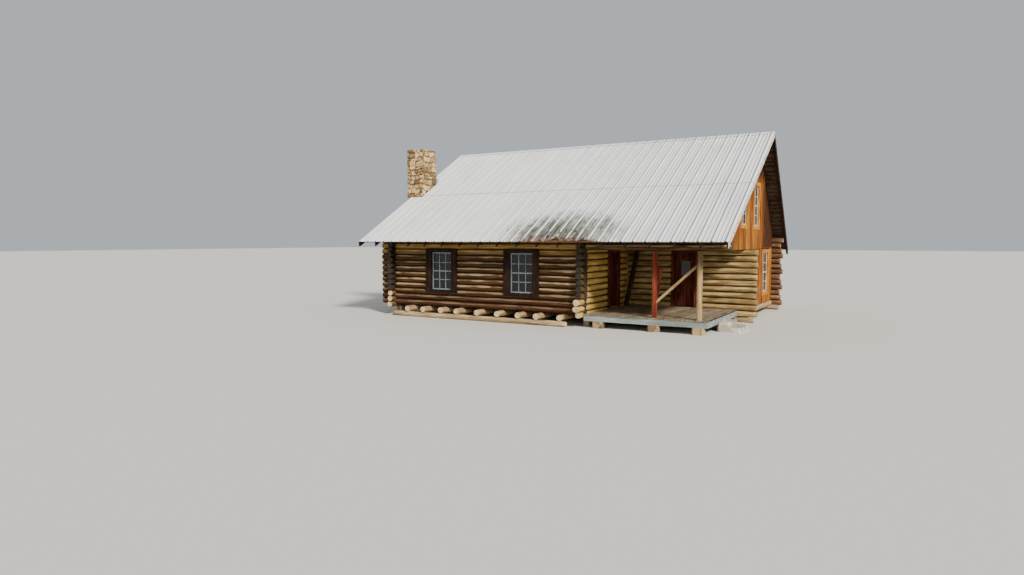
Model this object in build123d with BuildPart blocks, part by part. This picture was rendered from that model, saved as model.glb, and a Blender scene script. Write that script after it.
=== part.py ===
from build123d import *
import os
from math import atan, ceil, cos, degrees, radians, sin, sqrt, tan

# Log cabin: notched round logs, one asymmetric gable roof of ribbed sheet metal, a recessed
# corner porch at the front right, a vertical-board end wall and a fieldstone chimney.
# X runs along the ridge, Y from the front eave to the rear, Z up from level ground.
# Walls are placed from one another, and doors, windows and porch from the nearest wall.

os.makedirs("parts", exist_ok=True)

# Logs and courses
course = 220
hewn_flat = 118.74
wall_base = 420
front_wall_height = 2860
rear_wall_height = 2640
porch_wall_height = 2200
plate_hewn = 65
left_log_end = 550
right_log_end = 450
front_log_end = 200
rear_log_end = 150
butt_log_end = 400

# Plan: distances between the walls' middles, and to the eaves, the rakes and the end wall's face
left_overhang = 1090
pen_length = 8250
hall_length = 4500
right_overhang = 550
front_overhang = 875
porch_depth = 4125
room_depth = 5400
rear_overhang = 680
end_wall_thickness = 100

# Roof
front_run = 7140
front_pitch = 30
front_cover = 217.9
rear_cover = 383.2
sheet_thickness = 12
rib_height = 19
rib_spacing = 406.4
rib_foot = 64
rib_top = 38
lath_thickness = 25
lath_width = 100
lath_spacing = 212
first_lath = 80
last_lath = 70
rafter_depth = 140
rafter_width = 50
rafter_count = 19
rafter_short_of_eave = 40
ridge_board_thickness = 38
ridge_board_depth = 180
ridge_cap_width = 190
ridge_cap_thickness = 4
rake_board_thickness = 20
rake_board_depth = 150
rake_mitre_gap = 2

# Footing and floors
sill_diameter = 200
sill_inside_left = 250
sill_beyond_end = 350
front_sill_out = 375
front_sill_short = 440
joist_diameter = 240
joist_below_base = 230
joist_end_out = 475
joist_short_of_middle = 20
pen_joist_gaps = [1010, 740, 820, 750, 900, 860, 880, 720, 910, 660]
hall_joist_gaps = [750, 800, 800, 800, 700, 600]
floor_thickness = 40
pier_width = 240
pier_length = 400
pier_corner = 60
left_pier_gaps = [425, 2600, 2500, 2200, 1350, 450]
side_pier_gaps = [525, 2800, 800]
loft_joist_width = 60
loft_joist_depth = 150
loft_joist_first = 325
loft_joist_spacing = 800
loft_board = 40
loft_hatch_length = 2000
loft_hatch_width = 700

# Windows
frame_board = 40
casing_thickness = 30
log_casing_side = 220
log_casing_head = 80
log_casing_foot = 70
board_casing_side = 110
board_casing_head = 90
sash_width = 45
sash_thickness = 40
log_sash_back = 60
board_sash_back = 30
glass_thickness = 6
log_window_width = 1010
log_window_height = 1510
log_window_above_floor = 570
window_from_left_wall = 2420
window_from_side_wall = 2330
gable_window_width = 980
gable_window_height = 1600
gable_window_below_ridge = 1990
gable_windows_before_ridge = [2440, 340]
end_window_width = 1200
end_window_height = 1680
end_window_above_floor = 360
end_window_from_rear = 1520

# Doors
door_height = 2090
side_door_width = 940
side_door_from_wall = 1585
side_door_casing = 115
back_door_width = 860
back_door_from_end = 2170
door_casing = 50
door_thickness = 45
door_gap = 8
knob_radius = 28
knob_reach = 60
knob_height = 980
knob_from_edge = 70
hinge_pin_radius = 6
hinge_knuckle_radius = 11
hinge_running_gap = 0.3
hinge_from_face = 12
hinge_knuckle_height = 36
hinge_plate_width = 50
hinge_plate_thickness = 4
hinge_heights = [250, 1750]
door_light_width = 350
door_light_height = 590
door_light_bottom = 1130

# Porch
porch_short_of_end = 200
porch_floor_out = 155
porch_floor_nosing = 20
rim_depth = 190
rim_thickness = 50
stone_behind_rim = 10
first_stone_inset = 500
last_stone_inset = 300
post_diameter = 170
post_inset = 310
middle_post_size = 130
post_spacing = 1440
brace_diameter = 90
brace_foot_height = 460
brace_head_height = 1780
pole_diameter = 180
pole_foot_aside = 215
pole_foot_out = 755
pole_head_aside = 405
pole_head_out = 87
pole_height = 2090
board_width = 150
board_thickness = 30
board_foot_aside = 250
board_foot_behind = 625
board_head_aside = 150
board_head_behind = 85
board_height = 1640
foot_reach = 120
step_height = 150
step_reach = 750
step_length = 1300
step_from_wall = 2450
step_corner = 90
upper_step_inset = 70
upper_step_corner = 80

# Chimney
chimney_beyond_roof = 280
chimney_from_front = 3025
chimney_base_width = 1800
chimney_base_height = 2200
chimney_shoulder_height = 3300
stack_width = 1000
stack_depth = 870
stack_top = 6900
flue_width = 520
flue_depth = 360
flue_recess = 400
notch_gap = 40
notch_slant = 690

# Courses and heights
log_diameter = sqrt(course**2 + hewn_flat**2)
half = log_diameter / 2
flat = hewn_flat / 2
front_courses = ceil(front_wall_height / course)
rear_courses = ceil(rear_wall_height / course)
porch_courses = ceil(porch_wall_height / course)
left_courses = rear_courses
side_courses = porch_courses + 1
front_top = wall_base + front_courses * course - plate_hewn
rear_top = wall_base + rear_courses * course - plate_hewn
porch_top = wall_base + porch_courses * course
cross_base = wall_base - course / 2
left_top = cross_base + left_courses * course
floor_top = wall_base + floor_thickness
door_head = floor_top + door_height
metal_depth = rib_height + sheet_thickness
lath_depth = metal_depth + lath_thickness
roof_depth = lath_depth + rafter_depth

# Places
roof_length = left_overhang + pen_length + hall_length + right_overhang
roof_right = (roof_length + chimney_beyond_roof) / 2
roof_left = roof_right - roof_length
left_wall_x = roof_left + left_overhang
side_wall_x = left_wall_x + pen_length
end_face_x = side_wall_x + hall_length
end_inner_x = end_face_x - end_wall_thickness
end_middle_x = end_face_x - end_wall_thickness / 2
left_ends_x = left_wall_x - left_log_end
right_ends_x = end_face_x + right_log_end
roof_run = front_overhang + porch_depth + room_depth + rear_overhang
front_eave_y = -roof_run / 2
rear_eave_y = roof_run / 2
ridge_y = front_eave_y + front_run
rear_run = roof_run - front_run
front_wall_y = front_eave_y + front_overhang
porch_wall_y = front_wall_y + porch_depth
rear_wall_y = porch_wall_y + room_depth
front_face_y = front_wall_y - half
front_inner_y = front_wall_y + half
porch_face_y = porch_wall_y - half
rear_inner_y = rear_wall_y - half
rear_face_y = rear_wall_y + half
porch_left_x = side_wall_x + half
room_left_x = left_wall_x + half
room_side_x = side_wall_x - half
log_window_x = [left_wall_x + window_from_left_wall, side_wall_x - window_from_side_wall]
gable_window_y = [ridge_y - place for place in gable_windows_before_ridge]
end_window_y = rear_wall_y - end_window_from_rear
side_door_y = porch_wall_y - side_door_from_wall
back_door_x = end_face_x - back_door_from_end
chimney_y = front_wall_y + chimney_from_front

# The ribs' tops lie one cover above each plate log's middle, which gives the ridge its height
# and the rear slope its pitch.
ridge_top = front_top + front_cover + (ridge_y - front_wall_y) * tan(radians(front_pitch))
rear_pitch = degrees(atan((ridge_top - rear_top - rear_cover) / (rear_wall_y - ridge_y)))
log_window_bottom = floor_top + log_window_above_floor
gable_window_bottom = ridge_top - gable_window_below_ridge - gable_window_height
end_window_bottom = floor_top + end_window_above_floor


def front_roof_z(y, depth):
    """Height of a line at this depth, square to the slope, below the front ribs' tops."""
    return ridge_top - (ridge_y - y) * tan(radians(front_pitch)) - depth / cos(radians(front_pitch))


def rear_roof_z(y, depth):
    """Height of a line at this depth, square to the slope, below the rear ribs' tops."""
    return ridge_top - (y - ridge_y) * tan(radians(rear_pitch)) - depth / cos(radians(rear_pitch))


def along_x(y):
    """Plane through a lengthwise wall's middle: its normal is +X and offsets are X places."""
    return Plane(origin=(0, y, 0), x_dir=(0, 1, 0), z_dir=(1, 0, 0))


def along_y(x):
    """Plane through a crosswise wall's middle: its normal is +Y and offsets are Y places."""
    return Plane(origin=(x, 0, 0), x_dir=(-1, 0, 0), z_dir=(0, 1, 0))


def spread(start, length, gaps):
    """Places along a length, with gaps between them in these proportions."""
    return [start + length * sum(gaps[:number]) / sum(gaps) for number in range(1, len(gaps))]


def save(part, label):
    """Label one finished piece and write its STEP file."""
    part.label = label
    export_step(part, f"parts/{label}.step")


# Log walls: round logs hewn flat above and below, each notched a quarter of its height above
# and below at a crossing, so that crossing logs interlock. A wall's 1st, 3rd, 5th courses are
# one node and its 2nd, 4th, 6th the other, so that no two logs of a node touch. The rear and
# porch walls have one course more below, as deep as the joists that are let into it.

with BuildSketch() as log_section:
    with BuildLine():
        ThreePointArc((flat, -course / 2), (half, 0), (flat, course / 2))
        Line((flat, course / 2), (-flat, course / 2))
        ThreePointArc((-flat, course / 2), (-half, 0), (-flat, -course / 2))
        Line((-flat, -course / 2), (flat, -course / 2))
    make_face()


def log_wall(plane, base, logs, crossings, openings, top):
    """One wall's logs, given as (course number, near end, far end).

    Crossings are (place, joints): the joints between courses that are notched there.
    Openings are (near, far, low, high), and the top log is hewn off level at the top.
    """
    with BuildPart() as wall:
        for number, near, far in logs:
            with BuildSketch(plane.offset(near)):
                with Locations((0, base + (number + 0.5) * course)):
                    add(log_section.sketch)
            extrude(amount=far - near)
        for place, joints in crossings:
            with BuildSketch(plane.offset(place - half)):
                for joint in joints:
                    with Locations((0, base + joint * course)):
                        Rectangle(2 * log_diameter, course / 2)
            extrude(amount=log_diameter, mode=Mode.SUBTRACT)
        for near, far, low, high in openings:
            with BuildSketch(plane.offset(near)):
                with Locations((0, (low + high) / 2)):
                    Rectangle(2 * log_diameter, high - low)
            extrude(amount=far - near, mode=Mode.SUBTRACT)
        split(bisect_by=Plane.XY.offset(top), keep=Keep.BOTTOM)
    return wall.part


def opening(centre, width, low, high):
    """An opening in a wall, from its middle and its width."""
    return (centre - width / 2, centre + width / 2, low, high)


log_window_top = log_window_bottom + log_window_height
log_window_openings = [
    opening(x, log_window_width, log_window_bottom, log_window_top) for x in log_window_x
]

pen_logs = [(number, left_ends_x, porch_left_x) for number in range(porch_courses)]
header_logs = [(number, left_ends_x, right_ends_x) for number in range(porch_courses, front_courses)]
front_logs = pen_logs + header_logs
front_crossings = [(left_wall_x, range(left_courses)), (side_wall_x, range(side_courses))]

with BuildPart() as front_wall_odd_logs:
    add(
        log_wall(
            along_x(front_wall_y),
            wall_base,
            front_logs[0::2],
            front_crossings,
            log_window_openings,
            front_top,
        )
    )
save(front_wall_odd_logs.part, "front_wall_odd_logs")

with BuildPart() as front_wall_even_logs:
    add(
        log_wall(
            along_x(front_wall_y),
            wall_base,
            front_logs[1::2],
            front_crossings,
            log_window_openings,
            front_top,
        )
    )
save(front_wall_even_logs.part, "front_wall_even_logs")

rear_logs = [(number, left_ends_x, right_ends_x) for number in range(-1, rear_courses)]
rear_crossings = [(left_wall_x, range(left_courses))]

with BuildPart() as rear_wall_odd_logs:
    add(
        log_wall(
            along_x(rear_wall_y),
            wall_base,
            rear_logs[0::2],
            rear_crossings,
            log_window_openings,
            rear_top,
        )
    )
save(rear_wall_odd_logs.part, "rear_wall_odd_logs")

with BuildPart() as rear_wall_even_logs:
    add(
        log_wall(
            along_x(rear_wall_y),
            wall_base,
            rear_logs[1::2],
            rear_crossings,
            log_window_openings,
            rear_top,
        )
    )
save(rear_wall_even_logs.part, "rear_wall_even_logs")

porch_logs = [(number, room_side_x, right_ends_x) for number in range(-1, porch_courses)]
porch_crossings = [(side_wall_x, range(side_courses))]
back_door_openings = [opening(back_door_x, back_door_width, floor_top, door_head)]

with BuildPart() as porch_back_wall_odd_logs:
    add(
        log_wall(
            along_x(porch_wall_y),
            wall_base,
            porch_logs[0::2],
            porch_crossings,
            back_door_openings,
            porch_top,
        )
    )
save(porch_back_wall_odd_logs.part, "porch_back_wall_odd_logs")

with BuildPart() as porch_back_wall_even_logs:
    add(
        log_wall(
            along_x(porch_wall_y),
            wall_base,
            porch_logs[1::2],
            porch_crossings,
            back_door_openings,
            porch_top,
        )
    )
save(porch_back_wall_even_logs.part, "porch_back_wall_even_logs")

cross_near_y = front_face_y - front_log_end
left_far_y = rear_face_y + rear_log_end
left_logs = [(number, cross_near_y, left_far_y) for number in range(left_courses)]
left_crossings = [
    (front_wall_y, range(1, front_courses + 1)),
    (rear_wall_y, range(rear_courses + 1)),
]

with BuildPart() as left_wall_odd_logs:
    add(log_wall(along_y(left_wall_x), cross_base, left_logs[0::2], left_crossings, [], left_top))
save(left_wall_odd_logs.part, "left_wall_odd_logs")

with BuildPart() as left_wall_even_logs:
    add(log_wall(along_y(left_wall_x), cross_base, left_logs[1::2], left_crossings, [], left_top))
save(left_wall_even_logs.part, "left_wall_even_logs")

side_far_y = porch_wall_y + half
side_top = cross_base + side_courses * course
long_butt_y = front_face_y - butt_log_end
side_logs = [(0, cross_near_y, side_far_y)]
side_logs += [(number, long_butt_y, side_far_y) for number in (1, 2)]
side_logs += [(number, cross_near_y, side_far_y) for number in range(3, side_courses)]
side_crossings = [
    (front_wall_y, range(1, front_courses + 1)),
    (porch_wall_y, range(porch_courses + 1)),
]
side_door_openings = [opening(side_door_y, side_door_width, floor_top, door_head)]

with BuildPart() as porch_side_wall_odd_logs:
    add(
        log_wall(
            along_y(side_wall_x),
            cross_base,
            side_logs[0::2],
            side_crossings,
            side_door_openings,
            side_top,
        )
    )
save(porch_side_wall_odd_logs.part, "porch_side_wall_odd_logs")

with BuildPart() as porch_side_wall_even_logs:
    add(
        log_wall(
            along_y(side_wall_x),
            cross_base,
            side_logs[1::2],
            side_crossings,
            side_door_openings,
            side_top,
        )
    )
save(porch_side_wall_even_logs.part, "porch_side_wall_even_logs")

# Board walls of the right end: a framed panel below, and the gable above it and the porch

ridge_board_top = rear_roof_z(ridge_y + ridge_board_thickness / 2, lath_depth)
ridge_board_middle = ridge_board_top - ridge_board_depth / 2
ridge_slot_top = ridge_board_middle + ridge_board_depth

with BuildPart() as right_wall_boards:
    with BuildSketch(Plane.YZ.offset(end_inner_x)):
        with Locations(((porch_wall_y + half + rear_inner_y) / 2, (wall_base + porch_top) / 2)):
            Rectangle(rear_inner_y - porch_wall_y - half, porch_top - wall_base)
        with Locations((end_window_y, end_window_bottom + end_window_height / 2)):
            Rectangle(end_window_width, end_window_height, mode=Mode.SUBTRACT)
    extrude(amount=end_wall_thickness)
save(right_wall_boards.part, "right_wall_boards")


def gable_edge(low):
    """The gable's outline under the lath and over the wall plates, down to a level bottom."""
    return [
        (front_inner_y, low),
        (rear_inner_y, low),
        (rear_inner_y, rear_top),
        (rear_face_y, rear_top),
        (rear_face_y, rear_roof_z(rear_face_y, lath_depth)),
        (ridge_y, rear_roof_z(ridge_y, lath_depth)),
        (ridge_y, front_roof_z(ridge_y, lath_depth)),
        (front_face_y, front_roof_z(front_face_y, lath_depth)),
        (front_face_y, front_top),
        (front_inner_y, front_top),
    ]


with BuildPart() as right_gable_boards:
    with BuildSketch(Plane.YZ.offset(end_inner_x)):
        with BuildLine():
            Polyline(*gable_edge(porch_top), close=True)
        make_face()
        for y in gable_window_y:
            with Locations((y, gable_window_bottom + gable_window_height / 2)):
                Rectangle(gable_window_width, gable_window_height, mode=Mode.SUBTRACT)
        with Locations((ridge_y, ridge_slot_top - ridge_board_depth)):
            Rectangle(ridge_board_thickness, 2 * ridge_board_depth, mode=Mode.SUBTRACT)
    extrude(amount=end_wall_thickness)
save(right_gable_boards.part, "right_gable_boards")

with BuildPart() as left_gable_boards:
    with BuildSketch(Plane.YZ.offset(left_wall_x - end_wall_thickness / 2)):
        with BuildLine():
            Polyline(*gable_edge(left_top), close=True)
        make_face()
        with Locations((ridge_y, ridge_slot_top - ridge_board_depth)):
            Rectangle(ridge_board_thickness, 2 * ridge_board_depth, mode=Mode.SUBTRACT)
    extrude(amount=end_wall_thickness)
save(left_gable_boards.part, "left_gable_boards")

# Chimney: a broad fieldstone base, sloping shoulders and a stack that stands off the wall

chimney_out_x = roof_left - chimney_beyond_roof
chimney_in_x = left_wall_x - half
stack_in_x = chimney_out_x + stack_depth
base_middle = ((chimney_out_x + chimney_in_x) / 2, chimney_y)
stack_middle = (chimney_out_x + stack_depth / 2, chimney_y)

with BuildPart() as chimney:
    with BuildSketch(Plane.XY):
        with Locations(base_middle):
            Rectangle(chimney_in_x - chimney_out_x, chimney_base_width)
    extrude(amount=chimney_base_height)
    with BuildSketch(Plane.XY.offset(chimney_base_height)):
        with Locations(base_middle):
            Rectangle(chimney_in_x - chimney_out_x, chimney_base_width)
    with BuildSketch(Plane.XY.offset(chimney_shoulder_height)):
        with Locations(stack_middle):
            Rectangle(stack_depth, stack_width)
    loft()
    with BuildSketch(Plane.XY.offset(chimney_shoulder_height)):
        with Locations(stack_middle):
            Rectangle(stack_depth, stack_width)
    extrude(amount=stack_top - chimney_shoulder_height)
    with BuildSketch(Plane.XY.offset(stack_top)):
        with Locations(stack_middle):
            Rectangle(flue_depth, flue_width)
    extrude(amount=-flue_recess, mode=Mode.SUBTRACT)
save(chimney.part, "chimney")

# Footing: sill logs on the ground, joists saddled on them and hewn flat, stones under the rest

sill_radius = sill_diameter / 2
joist_radius = joist_diameter / 2
joist_bottom = wall_base - joist_below_base
sill_left_x = left_wall_x + sill_inside_left
sill_runs = [
    (front_wall_y - front_sill_out, side_wall_x - front_sill_short),
    (porch_wall_y, end_face_x + sill_beyond_end),
    (rear_wall_y, end_face_x + sill_beyond_end),
]

with BuildPart() as sill_logs:
    for y, right_x in sill_runs:
        with BuildSketch(along_x(y).offset(sill_left_x)):
            with Locations((0, sill_radius)):
                Circle(sill_radius)
        extrude(amount=right_x - sill_left_x)
save(sill_logs.part, "sill_logs")

pen_joist_x = spread(left_wall_x, pen_length, pen_joist_gaps)
hall_joist_x = spread(side_wall_x, end_middle_x - side_wall_x, hall_joist_gaps) + [end_middle_x]
joist_runs = [(x, front_wall_y - joist_end_out) for x in pen_joist_x]
joist_runs += [(x, porch_wall_y + joist_short_of_middle) for x in hall_joist_x]
joist_far_y = rear_wall_y - joist_short_of_middle

with BuildPart() as floor_joists:
    for x, near_y in joist_runs:
        with BuildSketch(along_y(x).offset(near_y)):
            with Locations((0, joist_bottom + joist_radius)):
                Circle(joist_radius)
        extrude(amount=joist_far_y - near_y)
    split(bisect_by=Plane.XY.offset(wall_base), keep=Keep.BOTTOM)
    for wall in (sill_logs, porch_back_wall_odd_logs, rear_wall_odd_logs):
        add(wall.part, mode=Mode.SUBTRACT)
save(floor_joists.part, "floor_joists")

porch_right_x = end_face_x - porch_short_of_end
porch_front_y = front_wall_y - porch_floor_out
rim_bottom = wall_base - rim_depth
post_x = porch_right_x - post_inset
middle_post_x = post_x - post_spacing
left_pier_y = spread(front_wall_y, rear_wall_y - front_wall_y, left_pier_gaps)
side_pier_y = spread(front_wall_y, porch_depth, side_pier_gaps)
porch_stone_x = [porch_left_x + first_stone_inset, middle_post_x, porch_right_x - last_stone_inset]
porch_stone_y = [porch_front_y + pier_width / 2, porch_face_y - pier_width / 2 - stone_behind_rim]

with BuildPart() as stone_piers:
    with BuildSketch(Plane.XY):
        with Locations(*[(left_wall_x, y) for y in left_pier_y]):
            RectangleRounded(pier_width, pier_length, pier_corner)
        with Locations(*[(side_wall_x, y) for y in side_pier_y]):
            RectangleRounded(pier_width, pier_length, pier_corner)
    extrude(amount=cross_base)
    with BuildSketch(Plane.XY):
        with Locations(*[(x, y) for x in porch_stone_x for y in porch_stone_y]):
            RectangleRounded(pier_length, pier_width, pier_corner)
    extrude(amount=rim_bottom)
save(stone_piers.part, "stone_piers")

# Floors: boards between the faces of the walls, and a loft over the rooms and the porch

with BuildPart() as floor_boards:
    with BuildSketch(Plane.XY.offset(wall_base)):
        with BuildLine():
            Polyline(
                (room_left_x, front_inner_y),
                (room_side_x, front_inner_y),
                (room_side_x, porch_wall_y + half),
                (end_inner_x, porch_wall_y + half),
                (end_inner_x, rear_inner_y),
                (room_left_x, rear_inner_y),
                close=True,
            )
        make_face()
    extrude(amount=floor_thickness)
save(floor_boards.part, "floor_boards")

loft_first_x = room_left_x + loft_joist_first
loft_joist_count = int((end_inner_x - loft_first_x) // loft_joist_spacing) + 1
loft_x = [loft_first_x + number * loft_joist_spacing for number in range(loft_joist_count)]
inner_middle_y = (front_inner_y + rear_inner_y) / 2
hatch_y = rear_inner_y - loft_hatch_length

with BuildPart() as loft_joists:
    with BuildSketch(Plane.XY.offset(porch_top)):
        with Locations(*[(x, inner_middle_y) for x in loft_x]):
            Rectangle(loft_joist_width, rear_inner_y - front_inner_y)
    extrude(amount=loft_joist_depth)
save(loft_joists.part, "loft_joists")

with BuildPart() as loft_floor:
    with BuildSketch(Plane.XY.offset(porch_top + loft_joist_depth)):
        with Locations(((room_left_x + end_inner_x) / 2, inner_middle_y)):
            Rectangle(end_inner_x - room_left_x, rear_inner_y - front_inner_y)
        with Locations(((loft_x[2] + loft_x[3]) / 2, hatch_y)):
            Rectangle(loft_hatch_width, loft_hatch_length, mode=Mode.SUBTRACT)
    extrude(amount=loft_board)
save(loft_floor.part, "loft_floor")

# Porch: a board floor on a rim and joists, two posts, and what leans there

porch_middle = ((porch_left_x + porch_right_x) / 2, (porch_front_y + porch_face_y) / 2)
porch_length = porch_right_x - porch_left_x
porch_width = porch_face_y - porch_front_y

with BuildPart() as porch_frame:
    with BuildSketch(Plane.XY.offset(rim_bottom)):
        with Locations(porch_middle):
            Rectangle(porch_length, porch_width)
            Rectangle(porch_length - 2 * rim_thickness, porch_width - 2 * rim_thickness, mode=Mode.SUBTRACT)
        for share in (-1, 0, 1):
            with Locations((porch_middle[0], porch_middle[1] + share * porch_width / 4)):
                Rectangle(porch_length, rim_thickness)
    extrude(amount=wall_base - rim_bottom)
save(porch_frame.part, "porch_frame")

with BuildPart() as porch_floor:
    with BuildSketch(Plane.XY.offset(wall_base)):
        with Locations((porch_middle[0], porch_middle[1] - porch_floor_nosing / 2)):
            Rectangle(porch_length, porch_width + porch_floor_nosing)
    extrude(amount=floor_thickness)
save(porch_floor.part, "porch_floor")

with BuildPart() as porch_posts:
    with BuildSketch(Plane.XY.offset(floor_top)):
        with Locations((post_x, front_wall_y)):
            Circle(post_diameter / 2)
        with Locations((middle_post_x, front_wall_y)):
            Rectangle(middle_post_size, middle_post_size)
    extrude(amount=porch_top - floor_top)
save(porch_posts.part, "porch_posts")


def tilted(foot, head):
    """Plane square to the line from foot to head, at its foot, with X as level as it goes."""
    axis = (Vector(*head) - Vector(*foot)).normalized()
    level = Vector(1, 0, 0) - axis * axis.X
    return Plane(origin=foot, x_dir=level, z_dir=axis)


brace_foot = (middle_post_x, front_wall_y, floor_top + brace_foot_height)
brace_head = (post_x, front_wall_y, floor_top + brace_head_height)
pole_foot = (porch_left_x + pole_foot_aside, porch_face_y - pole_foot_out, floor_top)
pole_head = (porch_left_x + pole_head_aside, porch_face_y - pole_head_out, floor_top + pole_height)
board_foot = (middle_post_x - board_foot_aside, front_wall_y + board_foot_behind, floor_top)
board_head = (
    middle_post_x + board_head_aside,
    front_wall_y + board_head_behind,
    floor_top + board_height,
)

with BuildPart() as porch_brace:
    with BuildSketch(tilted(brace_foot, brace_head)):
        Circle(brace_diameter / 2)
    extrude(amount=(Vector(*brace_head) - Vector(*brace_foot)).length)
    add(porch_posts.part, mode=Mode.SUBTRACT)
save(porch_brace.part, "porch_brace")

with BuildPart() as leaning_timbers:
    with BuildSketch(tilted(pole_foot, pole_head).offset(-foot_reach)):
        Circle(pole_diameter / 2)
    extrude(amount=(Vector(*pole_head) - Vector(*pole_foot)).length + foot_reach)
    with BuildSketch(tilted(board_foot, board_head).offset(-foot_reach)):
        Rectangle(board_width, board_thickness)
    extrude(amount=(Vector(*board_head) - Vector(*board_foot)).length + foot_reach)
    split(bisect_by=Plane.XY.offset(floor_top), keep=Keep.TOP)
save(leaning_timbers.part, "leaning_timbers")

step_y = porch_wall_y - step_from_wall

with BuildPart() as porch_steps:
    with BuildSketch(Plane.XY):
        with Locations((porch_right_x + step_reach / 2, step_y)):
            RectangleRounded(step_reach, step_length, step_corner)
    extrude(amount=step_height)
    with BuildSketch(Plane.XY.offset(step_height)):
        with Locations((porch_right_x + step_reach / 4, step_y)):
            RectangleRounded(step_reach / 2, step_length - 2 * upper_step_inset, upper_step_corner)
    extrude(amount=step_height)
save(porch_steps.part, "porch_steps")

# Roof: rafters notched over the wall plates, lath across them, ribbed sheets and a ridge cap

with BuildPart() as chimney_notch:
    with BuildSketch(Plane.XY.offset(front_top)):
        with BuildLine():
            Polyline(
                (roof_left - chimney_beyond_roof, chimney_y - stack_width / 2 - notch_gap),
                (stack_in_x + notch_gap, chimney_y - stack_width / 2 - notch_gap),
                (stack_in_x + notch_gap, chimney_y + stack_width / 2 + 2 * notch_gap),
                (roof_left, chimney_y + stack_width / 2 + notch_slant),
                (roof_left - chimney_beyond_roof, chimney_y + stack_width / 2 + notch_slant),
                close=True,
            )
        make_face()
    extrude(amount=ridge_top - front_top)

rafter_first_x = roof_left + rake_board_thickness + rafter_width / 2
rafter_step = (roof_length - 2 * rake_board_thickness - rafter_width) / (rafter_count - 1)
rafter_x = [rafter_first_x + number * rafter_step for number in range(rafter_count)]


def front_band(low_y, high_y, shallow, deep):
    """Outline between two depths below the front slope, cut plumb at both ends."""
    return [
        (low_y, front_roof_z(low_y, deep)),
        (high_y, front_roof_z(high_y, deep)),
        (high_y, front_roof_z(high_y, shallow)),
        (low_y, front_roof_z(low_y, shallow)),
    ]


def rear_band(low_y, high_y, shallow, deep):
    """Outline between two depths below the rear slope, cut plumb at both ends."""
    return [
        (low_y, rear_roof_z(low_y, deep)),
        (high_y, rear_roof_z(high_y, deep)),
        (high_y, rear_roof_z(high_y, shallow)),
        (low_y, rear_roof_z(low_y, shallow)),
    ]


with BuildPart() as rafters:
    for x in rafter_x:
        with BuildSketch(Plane.YZ.offset(x - rafter_width / 2)):
            with BuildLine():
                near_y = front_eave_y + rafter_short_of_eave
                far_y = ridge_y - ridge_board_thickness / 2
                Polyline(*front_band(near_y, far_y, lath_depth, roof_depth), close=True)
            make_face()
            with Locations((front_wall_y, front_top - half)):
                Rectangle(log_diameter, log_diameter, mode=Mode.SUBTRACT)
        extrude(amount=rafter_width)
        with BuildSketch(Plane.YZ.offset(x - rafter_width / 2)):
            with BuildLine():
                near_y = rear_eave_y - rafter_short_of_eave
                far_y = ridge_y + ridge_board_thickness / 2
                Polyline(*rear_band(near_y, far_y, lath_depth, roof_depth), close=True)
            make_face()
            with Locations((rear_wall_y, rear_top - half)):
                Rectangle(log_diameter, log_diameter, mode=Mode.SUBTRACT)
        extrude(amount=rafter_width)
    add(chimney_notch.part, mode=Mode.SUBTRACT)
save(rafters.part, "rafters")

frame_length = roof_length - 2 * rake_board_thickness

with BuildPart() as ridge_board:
    with BuildSketch(Plane.YZ.offset(roof_left + rake_board_thickness)):
        with Locations((ridge_y, ridge_board_middle)):
            Rectangle(ridge_board_thickness, ridge_board_depth)
    extrude(amount=frame_length)
save(ridge_board.part, "ridge_board")

front_slope = front_run / cos(radians(front_pitch))
rear_slope = rear_run / cos(radians(rear_pitch))
lath_middle = metal_depth + lath_thickness / 2


def lath_steps(slope):
    """Distances down the slope from the ridge to each lath's middle."""
    count = round((slope - first_lath - last_lath) / lath_spacing) + 1
    return [first_lath + number * (slope - first_lath - last_lath) / (count - 1) for number in range(count)]


with BuildPart() as roof_lath:
    with BuildSketch(Plane.YZ.offset(roof_left + rake_board_thickness)):
        for step in lath_steps(front_slope):
            y = ridge_y - step * cos(radians(front_pitch))
            with Locations((y, front_roof_z(y, lath_middle))):
                Rectangle(lath_width, lath_thickness, rotation=front_pitch)
        for step in lath_steps(rear_slope):
            y = ridge_y + step * cos(radians(rear_pitch))
            with Locations((y, rear_roof_z(y, lath_middle))):
                Rectangle(lath_width, lath_thickness, rotation=-rear_pitch)
    extrude(amount=frame_length)
    add(chimney_notch.part, mode=Mode.SUBTRACT)
save(roof_lath.part, "roof_lath")


def sheet_outline():
    """Section of the ribbed sheet across its ribs, its rib tops at height 0."""
    flat_z = -rib_height
    count = int(roof_length // rib_spacing)
    points = [(roof_length / 2, -metal_depth), (roof_length / 2, flat_z)]
    for number in range(count, -1, -1):
        middle = (number - count / 2) * rib_spacing
        points += [
            (middle + rib_foot / 2, flat_z),
            (middle + rib_top / 2, 0),
            (middle - rib_top / 2, 0),
            (middle - rib_foot / 2, flat_z),
        ]
    return points + [(-roof_length / 2, flat_z), (-roof_length / 2, -metal_depth)]


roof_middle_x = (roof_left + roof_right) / 2
front_plane = Plane(
    origin=(roof_middle_x, ridge_y, ridge_top),
    x_dir=(1, 0, 0),
    z_dir=(0, -cos(radians(front_pitch)), -sin(radians(front_pitch))),
)
rear_plane = Plane(
    origin=(roof_middle_x, ridge_y, ridge_top),
    x_dir=(-1, 0, 0),
    z_dir=(0, cos(radians(rear_pitch)), -sin(radians(rear_pitch))),
)
plumb_cut = 2 * metal_depth
ridge_plane = Plane(origin=(0, ridge_y, 0), x_dir=(1, 0, 0), z_dir=(0, -1, 0))
front_eave_plane = Plane(origin=(0, front_eave_y, 0), x_dir=(1, 0, 0), z_dir=(0, -1, 0))
rear_eave_plane = Plane(origin=(0, rear_eave_y, 0), x_dir=(1, 0, 0), z_dir=(0, -1, 0))

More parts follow.
